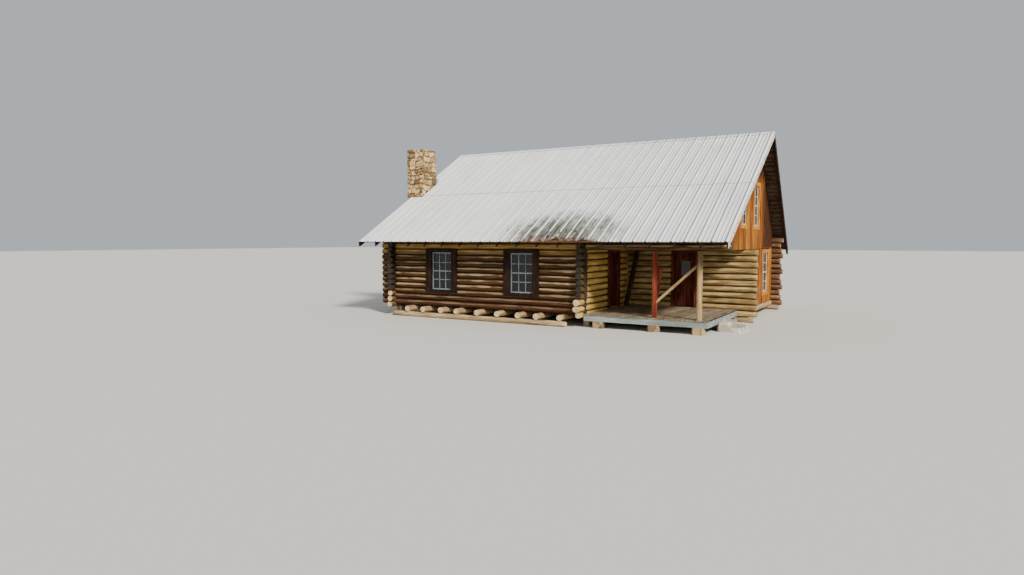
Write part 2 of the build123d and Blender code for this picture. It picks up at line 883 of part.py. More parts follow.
with BuildPart() as front_roof_sheet:
    with BuildSketch(front_plane.offset(-plumb_cut)):
        with BuildLine():
            Polyline(*sheet_outline(), close=True)
        make_face()
    extrude(amount=front_slope + 2 * plumb_cut)
    split(bisect_by=ridge_plane, keep=Keep.TOP)
    split(bisect_by=front_eave_plane, keep=Keep.BOTTOM)
    add(chimney_notch.part, mode=Mode.SUBTRACT)
save(front_roof_sheet.part, "front_roof_sheet")

with BuildPart() as rear_roof_sheet:
    with BuildSketch(rear_plane.offset(-plumb_cut)):
        with BuildLine():
            Polyline(*sheet_outline(), close=True)
        make_face()
    extrude(amount=rear_slope + 2 * plumb_cut)
    split(bisect_by=ridge_plane, keep=Keep.BOTTOM)
    split(bisect_by=rear_eave_plane, keep=Keep.TOP)
save(rear_roof_sheet.part, "rear_roof_sheet")

cap_front_y = ridge_y - ridge_cap_width * cos(radians(front_pitch))
cap_rear_y = ridge_y + ridge_cap_width * cos(radians(rear_pitch))

with BuildPart() as ridge_cap:
    with BuildSketch(Plane.YZ.offset(roof_left)):
        with BuildLine():
            Polyline(
                (cap_front_y, front_roof_z(cap_front_y, 0)),
                (ridge_y, ridge_top),
                (cap_rear_y, rear_roof_z(cap_rear_y, 0)),
                (cap_rear_y, rear_roof_z(cap_rear_y, -ridge_cap_thickness)),
                (ridge_y, ridge_top + ridge_cap_thickness / cos(radians(front_pitch))),
                (cap_front_y, front_roof_z(cap_front_y, -ridge_cap_thickness)),
                close=True,
            )
        make_face()
    extrude(amount=roof_length)
save(ridge_cap.part, "ridge_cap")

rake_x = [roof_left, roof_right - rake_board_thickness]
rake_deep = metal_depth + rake_board_depth

with BuildPart() as rake_boards:
    for x in rake_x:
        with BuildSketch(Plane.YZ.offset(x)):
            with BuildLine():
                near_y = ridge_y - rake_mitre_gap / 2
                Polyline(*front_band(front_eave_y, near_y, metal_depth, rake_deep), close=True)
            make_face()
            with BuildLine():
                near_y = ridge_y + rake_mitre_gap / 2
                Polyline(*rear_band(rear_eave_y, near_y, metal_depth, rake_deep), close=True)
            make_face()
        extrude(amount=rake_board_thickness)
    add(chimney_notch.part, mode=Mode.SUBTRACT)
save(rake_boards.part, "rake_boards")

# Windows: a board frame through the wall with casing outside, a sash ring and its two panes


def frame_ring(outside, width, height, middle, depth, casing, threshold):
    """A frame through the wall and its casing outside, drawn on the wall's outer plane.

    Casing holds the casing's widths at the side, the head and the foot. A frame without a
    threshold is open below, as on a door.
    """
    across, up = middle
    side, head, foot = casing
    open_below = 0 if threshold else frame_board
    inner_height = height - 2 * frame_board + open_below
    with BuildPart() as frame:
        with BuildSketch(outside):
            with Locations((across, up)):
                Rectangle(width, height)
            with Locations((across, up - open_below / 2)):
                Rectangle(width - 2 * frame_board, inner_height, mode=Mode.SUBTRACT)
        extrude(amount=-depth)
        with BuildSketch(outside):
            with Locations((across, up + (head - foot) / 2)):
                Rectangle(width + 2 * side, height + head + foot)
            with Locations((across, up - open_below / 2)):
                Rectangle(width - 2 * frame_board, inner_height, mode=Mode.SUBTRACT)
        extrude(amount=casing_thickness)
    return frame.part


def sash_ring(outside, width, height, middle, back):
    """A window's two sashes as one ring with a meeting rail, inside the frame."""
    with BuildPart() as sash:
        with BuildSketch(outside.offset(-back)):
            with Locations(middle):
                Rectangle(width - 2 * frame_board, height - 2 * frame_board)
                pane = frame_board + sash_width
                Rectangle(width - 2 * pane, height - 2 * pane, mode=Mode.SUBTRACT)
                Rectangle(width - 2 * frame_board, sash_width)
        extrude(amount=-sash_thickness)
    return sash.part


def pane_pair(outside, width, height, middle, back):
    """The two panes between a window's sash bars."""
    across, up = middle
    pane = frame_board + sash_width
    pane_height = height / 2 - pane - sash_width / 2
    with BuildPart() as glass:
        with BuildSketch(outside.offset(-back - (sash_thickness - glass_thickness) / 2)):
            for side in (-1, 1):
                with Locations((across, up + side * (pane_height + sash_width) / 2)):
                    Rectangle(width - 2 * pane, pane_height)
        extrude(amount=-glass_thickness)
    return glass.part


def facing_front(y):
    """Plane on a front face: across is +X, up is Z and the normal points to -Y."""
    return Plane(origin=(0, y, 0), x_dir=(1, 0, 0), z_dir=(0, -1, 0))


def facing_rear(y):
    """Plane on a rear face: across is -X, up is Z and the normal points to +Y."""
    return Plane(origin=(0, y, 0), x_dir=(-1, 0, 0), z_dir=(0, 1, 0))


def facing_right(x):
    """Plane on a right face: across is +Y, up is Z and the normal points to +X."""
    return Plane(origin=(x, 0, 0), x_dir=(0, 1, 0), z_dir=(1, 0, 0))


log_casing = (log_casing_side, log_casing_head, log_casing_foot)
board_casing = (board_casing_side, board_casing_head, board_casing_head)
log_window_z = (log_window_bottom + log_window_top) / 2
log_windows = [(facing_front(front_face_y), (x, log_window_z)) for x in log_window_x]
log_windows += [(facing_rear(rear_face_y), (-x, log_window_z)) for x in log_window_x]
gable_window_z = gable_window_bottom + gable_window_height / 2
end_window_z = end_window_bottom + end_window_height / 2
board_windows = [(gable_window_width, gable_window_height, (y, gable_window_z)) for y in gable_window_y]
board_windows += [(end_window_width, end_window_height, (end_window_y, end_window_z))]
right_plane = facing_right(end_face_x)

with BuildPart() as log_window_frames:
    for outside, middle in log_windows:
        add(
            frame_ring(
                outside, log_window_width, log_window_height, middle, log_diameter, log_casing, True
            )
        )
save(log_window_frames.part, "log_window_frames")

with BuildPart() as end_window_frames:
    for width, height, middle in board_windows:
        add(frame_ring(right_plane, width, height, middle, end_wall_thickness, board_casing, True))
save(end_window_frames.part, "end_window_frames")

with BuildPart() as window_sashes:
    for outside, middle in log_windows:
        add(sash_ring(outside, log_window_width, log_window_height, middle, log_sash_back))
    for width, height, middle in board_windows:
        add(sash_ring(right_plane, width, height, middle, board_sash_back))
save(window_sashes.part, "window_sashes")

with BuildPart() as window_panes:
    for outside, middle in log_windows:
        add(pane_pair(outside, log_window_width, log_window_height, middle, log_sash_back))
    for width, height, middle in board_windows:
        add(pane_pair(right_plane, width, height, middle, board_sash_back))
save(window_panes.part, "window_panes")

# Doors: a frame through the logs, and a leaf flush with the inner face that opens inwards

side_casing = (side_door_casing, door_casing, 0)
back_casing = (door_casing, door_casing, 0)
door_middle_z = (door_head + floor_top) / 2
side_plane = facing_right(porch_left_x)
back_plane = facing_front(porch_face_y)
leaf_height = door_height - frame_board - 2 * door_gap
leaf_bottom = floor_top + door_gap
leaf_back = log_diameter - door_thickness
light_z = leaf_bottom + door_light_bottom + door_light_height / 2

with BuildPart() as side_door_frame:
    side_middle = (side_door_y, door_middle_z)
    add(frame_ring(side_plane, side_door_width, door_height, side_middle, log_diameter, side_casing, False))
save(side_door_frame.part, "side_door_frame")

with BuildPart() as back_door_frame:
    back_middle = (back_door_x, door_middle_z)
    add(frame_ring(back_plane, back_door_width, door_height, back_middle, log_diameter, back_casing, False))
save(back_door_frame.part, "back_door_frame")

with BuildPart() as side_door:
    side_leaf_width = side_door_width - 2 * frame_board - 2 * door_gap
    with BuildSketch(side_plane.offset(-leaf_back)):
        with Locations((side_door_y, leaf_bottom + leaf_height / 2)):
            Rectangle(side_leaf_width, leaf_height)
    extrude(amount=-door_thickness)
    with BuildSketch(side_plane.offset(knob_reach - leaf_back)):
        with Locations((side_door_y - side_leaf_width / 2 + knob_from_edge, floor_top + knob_height)):
            Circle(knob_radius)
    extrude(amount=-2 * knob_reach - door_thickness)
save(side_door.part, "side_door")

with BuildPart() as back_door:
    back_leaf_width = back_door_width - 2 * frame_board - 2 * door_gap
    with BuildSketch(back_plane.offset(-leaf_back)):
        with Locations((back_door_x, leaf_bottom + leaf_height / 2)):
            Rectangle(back_leaf_width, leaf_height)
        with Locations((back_door_x, light_z)):
            Rectangle(door_light_width, door_light_height, mode=Mode.SUBTRACT)
    extrude(amount=-door_thickness)
    with BuildSketch(back_plane.offset(knob_reach - leaf_back)):
        with Locations((back_door_x + back_leaf_width / 2 - knob_from_edge, floor_top + knob_height)):
            Circle(knob_radius)
    extrude(amount=-2 * knob_reach - door_thickness)
save(back_door.part, "back_door")

with BuildPart() as back_door_glass:
    with BuildSketch(back_plane.offset(-leaf_back - (door_thickness - glass_thickness) / 2)):
        with Locations((back_door_x, light_z)):
            Rectangle(door_light_width, door_light_height)
    extrude(amount=-glass_thickness)
save(back_door_glass.part, "back_door_glass")

# Hinges: a pin and two knuckles fixed to the frame, and a knuckle on the door that turns on it


def hinge_section(plane, across, up, turn):
    """Plane of a hinge's foot: X runs towards the frame, Y into the room, its middle the axis."""
    origin = plane.from_local_coords((across + turn * door_gap / 2, up, -log_diameter - hinge_from_face))
    into_room = plane.z_dir * -1
    towards_frame = plane.x_dir * turn
    return Plane(origin=origin, x_dir=towards_frame, z_dir=towards_frame.cross(into_room))


def hinge_fixed(plane, across, up, turn):
    """The half on the frame: the pin, and a knuckle with its plate at each end of it."""
    base = hinge_section(plane, across, up, turn)
    rise = 1 if base.z_dir.Z > 0 else -1
    with BuildPart() as fixed:
        for level in (-1.5, 0.5):
            with BuildSketch(base.offset(rise * level * hinge_knuckle_height)):
                Circle(hinge_knuckle_radius)
                with Locations((hinge_plate_width / 2, hinge_plate_thickness / 2 - hinge_from_face)):
                    Rectangle(hinge_plate_width, hinge_plate_thickness)
                with Locations((hinge_knuckle_radius / 2, -hinge_from_face / 2)):
                    Rectangle(hinge_knuckle_radius, hinge_from_face)
            extrude(amount=rise * hinge_knuckle_height)
        with BuildSketch(base.offset(-rise * 1.5 * hinge_knuckle_height)):
            Circle(hinge_pin_radius)
        extrude(amount=rise * 3 * hinge_knuckle_height)
    return fixed.part


def hinge_moving(plane, across, up, turn):
    """The half on the door: one knuckle, bored to run on the pin, with its plate."""
    base = hinge_section(plane, across, up, turn)
    rise = 1 if base.z_dir.Z > 0 else -1
    low = hinge_knuckle_height / 2 - hinge_running_gap
    with BuildPart() as moving:
        with BuildSketch(base.offset(-rise * low)):
            Circle(hinge_knuckle_radius)
            with Locations((-hinge_plate_width / 2, hinge_plate_thickness / 2 - hinge_from_face)):
                Rectangle(hinge_plate_width, hinge_plate_thickness)
            with Locations((-hinge_knuckle_radius / 2, -hinge_from_face / 2)):
                Rectangle(hinge_knuckle_radius, hinge_from_face)
            Circle(hinge_pin_radius + hinge_running_gap, mode=Mode.SUBTRACT)
        extrude(amount=rise * 2 * low)
    return moving.part


side_hinge = (side_plane, side_door_y + side_leaf_width / 2)
back_hinge = (back_plane, back_door_x - back_leaf_width / 2)

with BuildPart() as door_hinge_pins:
    for height in hinge_heights:
        add(hinge_fixed(*side_hinge, leaf_bottom + height, 1))
        add(hinge_fixed(*back_hinge, leaf_bottom + height, -1))
save(door_hinge_pins.part, "door_hinge_pins")

with BuildPart() as side_door_hinges:
    for height in hinge_heights:
        add(hinge_moving(*side_hinge, leaf_bottom + height, 1))
save(side_door_hinges.part, "side_door_hinges")

with BuildPart() as back_door_hinges:
    for height in hinge_heights:
        add(hinge_moving(*back_hinge, leaf_bottom + height, -1))
save(back_door_hinges.part, "back_door_hinges")
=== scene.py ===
import math

import bpy
import numpy as np
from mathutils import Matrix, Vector


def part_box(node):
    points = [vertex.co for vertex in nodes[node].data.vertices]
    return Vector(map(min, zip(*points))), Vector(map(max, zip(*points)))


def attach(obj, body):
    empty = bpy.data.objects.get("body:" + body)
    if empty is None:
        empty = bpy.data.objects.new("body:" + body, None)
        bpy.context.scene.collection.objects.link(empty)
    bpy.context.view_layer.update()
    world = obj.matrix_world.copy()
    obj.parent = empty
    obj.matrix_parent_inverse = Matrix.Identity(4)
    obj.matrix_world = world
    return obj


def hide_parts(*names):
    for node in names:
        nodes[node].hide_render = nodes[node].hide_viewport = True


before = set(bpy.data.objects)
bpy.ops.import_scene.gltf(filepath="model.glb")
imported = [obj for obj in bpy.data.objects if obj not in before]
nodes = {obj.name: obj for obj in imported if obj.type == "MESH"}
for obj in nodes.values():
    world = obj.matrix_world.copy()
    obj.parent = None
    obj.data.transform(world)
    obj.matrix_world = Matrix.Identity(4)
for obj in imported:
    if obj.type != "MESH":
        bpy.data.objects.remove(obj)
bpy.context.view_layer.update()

# Log walls: pine logs of about 0.24 m, scraped of their bark and laid 0.22 m apart, notched over
# each other at the corners, with moss pressed into the joints. Near the corners the wood and the
# log ends are painted near black from a metre up, as shade, and the ends below stay pale.

COURSE = 0.22
LOG_WIDE, LOG_HIGH = 0.12, 0.109
FRONT_BASE, BACK_BASE, SIDE_BASE = 0.42, 0.20, 0.31
eased = {"interpolation_type": "SMOOTHSTEP"}


def lin(text):
    """Linear colour of an sRGB hex value."""
    parts = [int(text[k:k + 2], 16) / 255 for k in (0, 2, 4)]
    return tuple(c / 12.92 if c <= 0.04045 else ((c + 0.055) / 1.055) ** 2.4 for c in parts) + (1.0,)


def add(tree, kind, *inputs, out=0, stops=(), **settings):
    """Add one node with its settings and links, and give its output. Inputs come in the node's
    order or by name, a capital first; None leaves one as it is; stops are (place, hex)."""
    node = tree.nodes.new("ShaderNode" + kind)
    given = dict(enumerate(inputs))
    for name, value in settings.items():
        if name[0].isupper():
            given[name] = value
        else:
            setattr(node, name, value)
    for key, value in given.items():
        if isinstance(value, bpy.types.NodeSocket):
            tree.links.new(value, node.inputs[key])
        elif value is not None:
            node.inputs[key].default_value = value
    for k, (place, text) in enumerate(stops):
        marks = node.color_ramp.elements
        mark = marks[k] if k < len(marks) else marks.new(place)
        mark.position, mark.color = place, lin(text)
    return node.outputs[out]


def blank(name, rough, metal=0.0, gloss=0.5):
    """A new material with uniform values, its node tree and its Object coordinates."""
    mat = bpy.data.materials.new(name)
    mat.use_nodes = True
    surface = mat.node_tree.nodes["Principled BSDF"].inputs
    surface["Roughness"].default_value = rough
    surface["Metallic"].default_value = metal
    surface["Specular IOR Level"].default_value = gloss
    return mat, mat.node_tree, add(mat.node_tree, "TexCoord", out="Object")


def coat(mat, colour, relief=None, strength=0.0, depth=0.0):
    """Lead a colour, and a relief of this depth in metres, to a material's surface."""
    tree = mat.node_tree
    surface = tree.nodes["Principled BSDF"].inputs
    if isinstance(colour, bpy.types.NodeSocket):
        tree.links.new(colour, surface["Base Color"])
    else:
        surface["Base Color"].default_value = colour
    if relief is not None:
        bump = add(tree, "Bump", Strength=strength, Distance=depth, Height=relief)
        tree.links.new(bump, surface["Normal"])
    return mat


def stretch(axis, along, across):
    """Scales that draw a pattern out along one axis."""
    return [along if k == axis else across for k in range(3)]


def corner_shade(tree, coord, patch, axis, corner, half):
    """Painted shade: how dark the wood is made within a half width of a corner, from about a metre up.
    """
    off = add(tree, "SeparateXYZ", coord, out=axis)
    off = add(tree, "Math", off, corner, operation="SUBTRACT")
    off = add(tree, "Math", off, operation="ABSOLUTE")
    off = add(tree, "Math", patch, 0.1, off, operation="MULTIPLY_ADD")
    near = add(tree, "MapRange", off, half + 0.13, half + 0.02, **eased)
    up = add(tree, "SeparateXYZ", coord, out="Z")
    up = add(tree, "Math", patch, 0.3, up, operation="MULTIPLY_ADD")
    high = add(tree, "MapRange", up, 1.0, 1.25, 0.0, 0.88, **eased)
    return add(tree, "Math", near, high, operation="MULTIPLY")


def wood(name, axis, dark, mid, light, row=None, rough=0.85, coarse=1.0, grey=0.3, stain=None,
         apart=0.55, seam=0.0, shaded=None):
    """Pine that has stood outdoors: matt, streaked along its axis, silvered where it is worn, with
    dark drying cracks. Row is (axis name, first place, width) of what gets a tone of its own, seam
    the half width of its open joint, the corner given as stain (axis name, corner, half width) where
    it is painted near black as shade, and shaded a mask of painted shade. Real grain is 1 to 5 mm
    wide and cracks are 2 mm: both are drawn 20 to 30 mm wide, to show."""
    mat, tree, coord = blank(name, rough, gloss=0.15)
    grain = add(tree, "Mapping", coord, Scale=stretch(axis, 1.1, 30.0 * coarse))
    grain = add(tree, "TexNoise", grain, None, 1.0, 6.0, 0.6, Distortion=0.6)
    patch = add(tree, "Mapping", coord, Scale=stretch(axis, 0.9, 4.0))
    patch = add(tree, "TexNoise", patch, None, 1.6, 4.0, 0.55)
    both = add(tree, "Math", patch, 0.35, operation="MULTIPLY")
    both = add(tree, "Math", grain, 0.65, both, operation="MULTIPLY_ADD")
    colour = add(tree, "ValToRGB", both, stops=((0.33, dark), (0.5, mid), (0.66, light)))
    if row:
        axis_name, start, width = row
        place = add(tree, "SeparateXYZ", coord, out=axis_name)
        place = add(tree, "Math", place, start, operation="SUBTRACT")
        place = add(tree, "Math", place, width, operation="DIVIDE")
        tone = add(tree, "Math", place, operation="FLOOR")
        tone = add(tree, "Math", tone, 1.37, operation="MULTIPLY")
        tone = add(tree, "TexWhiteNoise", None, tone, noise_dimensions="1D")
        tone = add(tree, "Math", tone, apart, operation="MULTIPLY")
        colour = add(tree, "MixRGB", tone, colour, lin("a08a68"), blend_type="MULTIPLY")
        edge = add(tree, "Math", place, 0.5, operation="PINGPONG")
        if axis_name == "Z":
            joint = add(tree, "MapRange", edge, 0.17, 0.06, 0.0, 0.75, **eased)
            colour = add(tree, "MixRGB", joint, colour, lin("1a110a"))
        if seam:
            edge = add(tree, "Math", edge, width, operation="MULTIPLY")
            gap = add(tree, "MapRange", edge, seam, seam * 0.4, 0.0, 0.85, **eased)
            colour = add(tree, "MixRGB", gap, colour, lin("120b07"))
    worn = add(tree, "Mapping", coord, Scale=stretch(axis, 1.5, 7.0))
    worn = add(tree, "TexNoise", worn, None, 2.2, 5.0, 0.55)
    worn = add(tree, "MapRange", worn, 0.5, 0.75, 0.0, grey, **eased)
    colour = add(tree, "MixRGB", worn, colour, lin("8a8377"))
    crack = add(tree, "Mapping", coord, Scale=stretch(axis, 0.8, 55.0))
    crack = add(tree, "TexNoise", crack, None, 1.0, 2.0, 0.5, Distortion=0.3)
    crack = add(tree, "MapRange", crack, 0.36, 0.30, 0.0, 0.75, **eased)
    colour = add(tree, "MixRGB", crack, colour, lin("1c130c"))
    # Painted shade: near black at a corner, from about a metre up.
    if stain:
        black = corner_shade(tree, coord, patch, *stain)
        colour = add(tree, "MixRGB", black, colour, lin("17110d"))
    # Painted shade: dark brown where the shaded mask puts the wood in shade.
    if shaded:
        colour = add(tree, "MixRGB", shaded(tree, coord), colour, lin("2c1208"))
    relief = add(tree, "Math", crack, -0.8, grain, operation="MULTIPLY_ADD")
    return coat(mat, colour, relief, 0.5, 0.012)


def crumbly(name, dark, light):
    """A sawn log end, or dried moss: matt, mottled in spots of 20 mm and clouds of 0.1 m."""
    mat, tree, coord = blank(name, 0.9)
    fine = add(tree, "TexNoise", coord, None, 45.0, 5.0, 0.55)
    broad = add(tree, "TexNoise", coord, None, 9.0, 3.0, 0.55)
    both = add(tree, "Math", broad, 0.5, operation="MULTIPLY")
    both = add(tree, "Math", fine, 0.5, both, operation="MULTIPLY_ADD")
    colour = add(tree, "ValToRGB", both, stops=((0.38, dark), (0.6, light)))
    return coat(mat, colour, fine, 0.4, 0.006)


def mesh_object(name, verts, quads, tris, mats, quad_mats, tri_mats, round_faces=True):
    """One mesh piece from arrays, fixed to the cabin."""
    me = bpy.data.meshes.new(name)
    verts = np.asarray(verts, np.float32)
    quads = np.asarray(quads, np.int32).reshape(-1, 4)
    tris = np.asarray(tris, np.int32).reshape(-1, 3)
    me.vertices.add(len(verts))
    me.vertices.foreach_set("co", verts.ravel())
    me.loops.add(quads.size + tris.size)
    me.loops.foreach_set("vertex_index", np.concatenate([quads.ravel(), tris.ravel()]))
    me.polygons.add(len(quads) + len(tris))
    starts = np.concatenate([np.arange(len(quads)) * 4, quads.size + np.arange(len(tris)) * 3])
    me.polygons.foreach_set("loop_start", starts.astype(np.int32))
    for mat in mats:
        me.materials.append(mat)
    quad_index = np.broadcast_to(quad_mats, len(quads))
    index = np.concatenate([quad_index, np.broadcast_to(tri_mats, len(tris))]).astype(np.int32)
    me.polygons.foreach_set("material_index", index)
    shading = np.concatenate([np.full(len(quads), round_faces), np.zeros(len(tris), bool)])
    me.polygons.foreach_set("use_smooth", shading)
    me.update(calc_edges=True)
    me.validate()
    o = bpy.data.objects.new(name, me)
    bpy.context.scene.collection.objects.link(o)
    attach(o, "cabin")
    return o


def wobble(s, size, seed):
    """A slow bend along a length: the sum of three sines of 3.1, 1.3 and 0.55 m, each started
    at a random phase."""
    r = np.random.default_rng(seed)
    out = np.zeros_like(s)
    for wave, part in ((3.1, 0.5), (1.3, 0.3), (0.55, 0.2)):
        out += part * np.sin(s * 2 * math.pi / wave + r.uniform(0, 6.3))
    return out * size


def log_arrays(axis, a, b, u, v, ru, rv, seed, rough=1.0):
    """A log from a to b along an axis, its middle at (u, v) on the other two: an ellipse carried
    along the axis, its radius changed by two low waves round it, a random part at each point and
    the wobble along it, its middle by a wobble of 6 mm, and both ends eased in and closed."""
    around, gap = 16, 0.13
    r = np.random.default_rng(seed)
    rings = max(3, int((b - a) / gap) + 1)
    s = np.linspace(a, b, rings)
    s[0], s[-1] = a + 0.004, b - 0.004
    s = np.concatenate([[a], s, [b]])
    turn = np.arange(around) * 2 * math.pi / around + r.uniform(0, 0.3)
    oval, bumps = np.sin(2 * turn + r.uniform(0, 6)), np.sin(3 * turn + r.uniform(0, 6))
    shape = 1 + rough * (0.025 * oval + 0.015 * bumps)
    shape = shape[None, :] + rough * 0.014 * r.standard_normal((len(s), around))
    swell = 1 + rough * wobble(s, 0.035, seed + 1)
    swell[0] *= 0.93
    swell[-1] *= 0.93
    cu = u + rough * wobble(s, 0.006, seed + 2)
    cv = v + rough * wobble(s, 0.006, seed + 3)
    radius = np.clip(swell[:, None] * shape, 0, 1.03)
    pu = cu[:, None] + ru * radius * np.cos(turn)
    pv = cv[:, None] + rv * radius * np.sin(turn)
    ps = np.broadcast_to(s[:, None], pu.shape)
    order = {0: (ps, pu, pv), 1: (pu, ps, pv)}[axis]
    verts = np.stack(order, -1).reshape(-1, 3)
    n = len(s)
    k = np.arange((n - 1) * around).reshape(n - 1, around)
    nxt = np.roll(k, -1, axis=1)
    quads = np.stack([k, nxt, nxt + around, k + around], -1).reshape(-1, 4)
    middle = verts.reshape(n, around, 3)
    verts = np.concatenate([verts, [middle[0].mean(0)], [middle[-1].mean(0)]])
    ring = np.arange(around)
    low = np.stack([np.roll(ring, -1), ring, np.full(around, n * around)], -1)
    last = (n - 1) * around
    high = np.stack([last + ring, last + np.roll(ring, -1), np.full(around, n * around + 1)], -1)
    if axis == 1:
        quads, low, high = quads[:, ::-1], low[:, ::-1], high[:, ::-1]
    return verts, quads, np.concatenate([low, high])


def join_logs(name, logs, mats):
    """One piece from several logs, each (arrays, index of its end's material)."""
    verts, quads, tris, ends, base = [], [], [], [], 0
    for (v, q, t), end in logs:
        verts.append(v)
        quads.append(q + base)
        tris.append(t + base)
        ends.append(np.full(len(t), end))
        base += len(v)
    verts, quads, tris = np.concatenate(verts), np.concatenate(quads), np.concatenate(tris)
    return mesh_object(name, verts, quads, tris, mats, 0, np.concatenate(ends))


def cut_spans(a, b, z, reach, openings):
    """The stretches from a to b at a height that openings (low, high, foot, head) leave."""
    spans = [(a, b)]
    for low, high, foot, head in openings:
        if foot < z - reach and head > z + reach:
            parts = [part for s, e in spans for part in ((s, min(e, low)), (max(s, high), e))]
            spans = [part for part in parts if part[1] - part[0] > 0.03]
    return spans


def notch(verts, axis, z, openings):
    """Flatten a log that an opening only bites into, at the opening's foot or head."""
    bite, middle = 0.11, 0.06
    for low, high, foot, head in openings:
        beside = (verts[:, axis] > low - 0.001) & (verts[:, axis] < high + 0.001)
        if z - middle <= foot < z + bite:
            verts[beside, 2] = np.minimum(verts[beside, 2], foot)
        elif z - bite < head <= z + middle:
            verts[beside, 2] = np.maximum(verts[beside, 2], head)


def boxes(name, parts, mats):
    """One piece from several boxes, each (lowest corner, highest corner)."""
    verts, quads = [], []
    for (x0, y0, z0), (x1, y1, z1) in parts:
        k = len(verts)
        verts += [(x0, y0, z0), (x1, y0, z0), (x1, y1, z0), (x0, y1, z0)]
        verts += [(x0, y0, z1), (x1, y0, z1), (x1, y1, z1), (x0, y1, z1)]
        faces = [(0, 3, 2, 1), (4, 5, 6, 7), (0, 1, 5, 4), (1, 2, 6, 5), (2, 3, 7, 6), (3, 0, 4, 7)]
        quads += [tuple(k + c for c in face) for face in faces]
    return mesh_object(name, verts, quads, np.zeros((0, 3)), mats, 0, 0, False)


def wall(name, axis, middle, base, courses, openings, mats, replaced, seed, lengths, pale_below=0.0):
    """A log wall, course on course, and the strips of moss in its joints. Lengths gives a
    course's near and far end, and ends below a height have the third material."""
    logs, moss = [], []
    moss_wide, moss_high, moss_short = 0.034, 0.02, 0.06
    for number in range(courses):
        z = base + (number + 0.5) * COURSE
        near, far = lengths(number)
        for k, (a, b) in enumerate(cut_spans(near, far, z, 0.06, openings)):
            end = 2 if z < pale_below else 1
            arrays = log_arrays(axis, a, b, middle, z, LOG_WIDE, LOG_HIGH, seed + 40 * number + 7 * k)
            notch(arrays[0], axis, z, openings)
            logs.append((arrays, end))
        if number == courses - 1:
            continue
        joint = z + COURSE / 2
        for a, b in cut_spans(near + moss_short, far - moss_short, joint, -moss_high, openings):
            low = [a, middle - moss_wide, joint - moss_high]
            high = [b, middle + moss_wide, joint + moss_high]
            if axis == 1:
                low[:2], high[:2] = low[1::-1], high[1::-1]
            moss.append((low, high))
    o = join_logs(name, logs, mats)
    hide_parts(*replaced)
    o = boxes(name.replace("logs", "moss"), moss, [joint_moss])


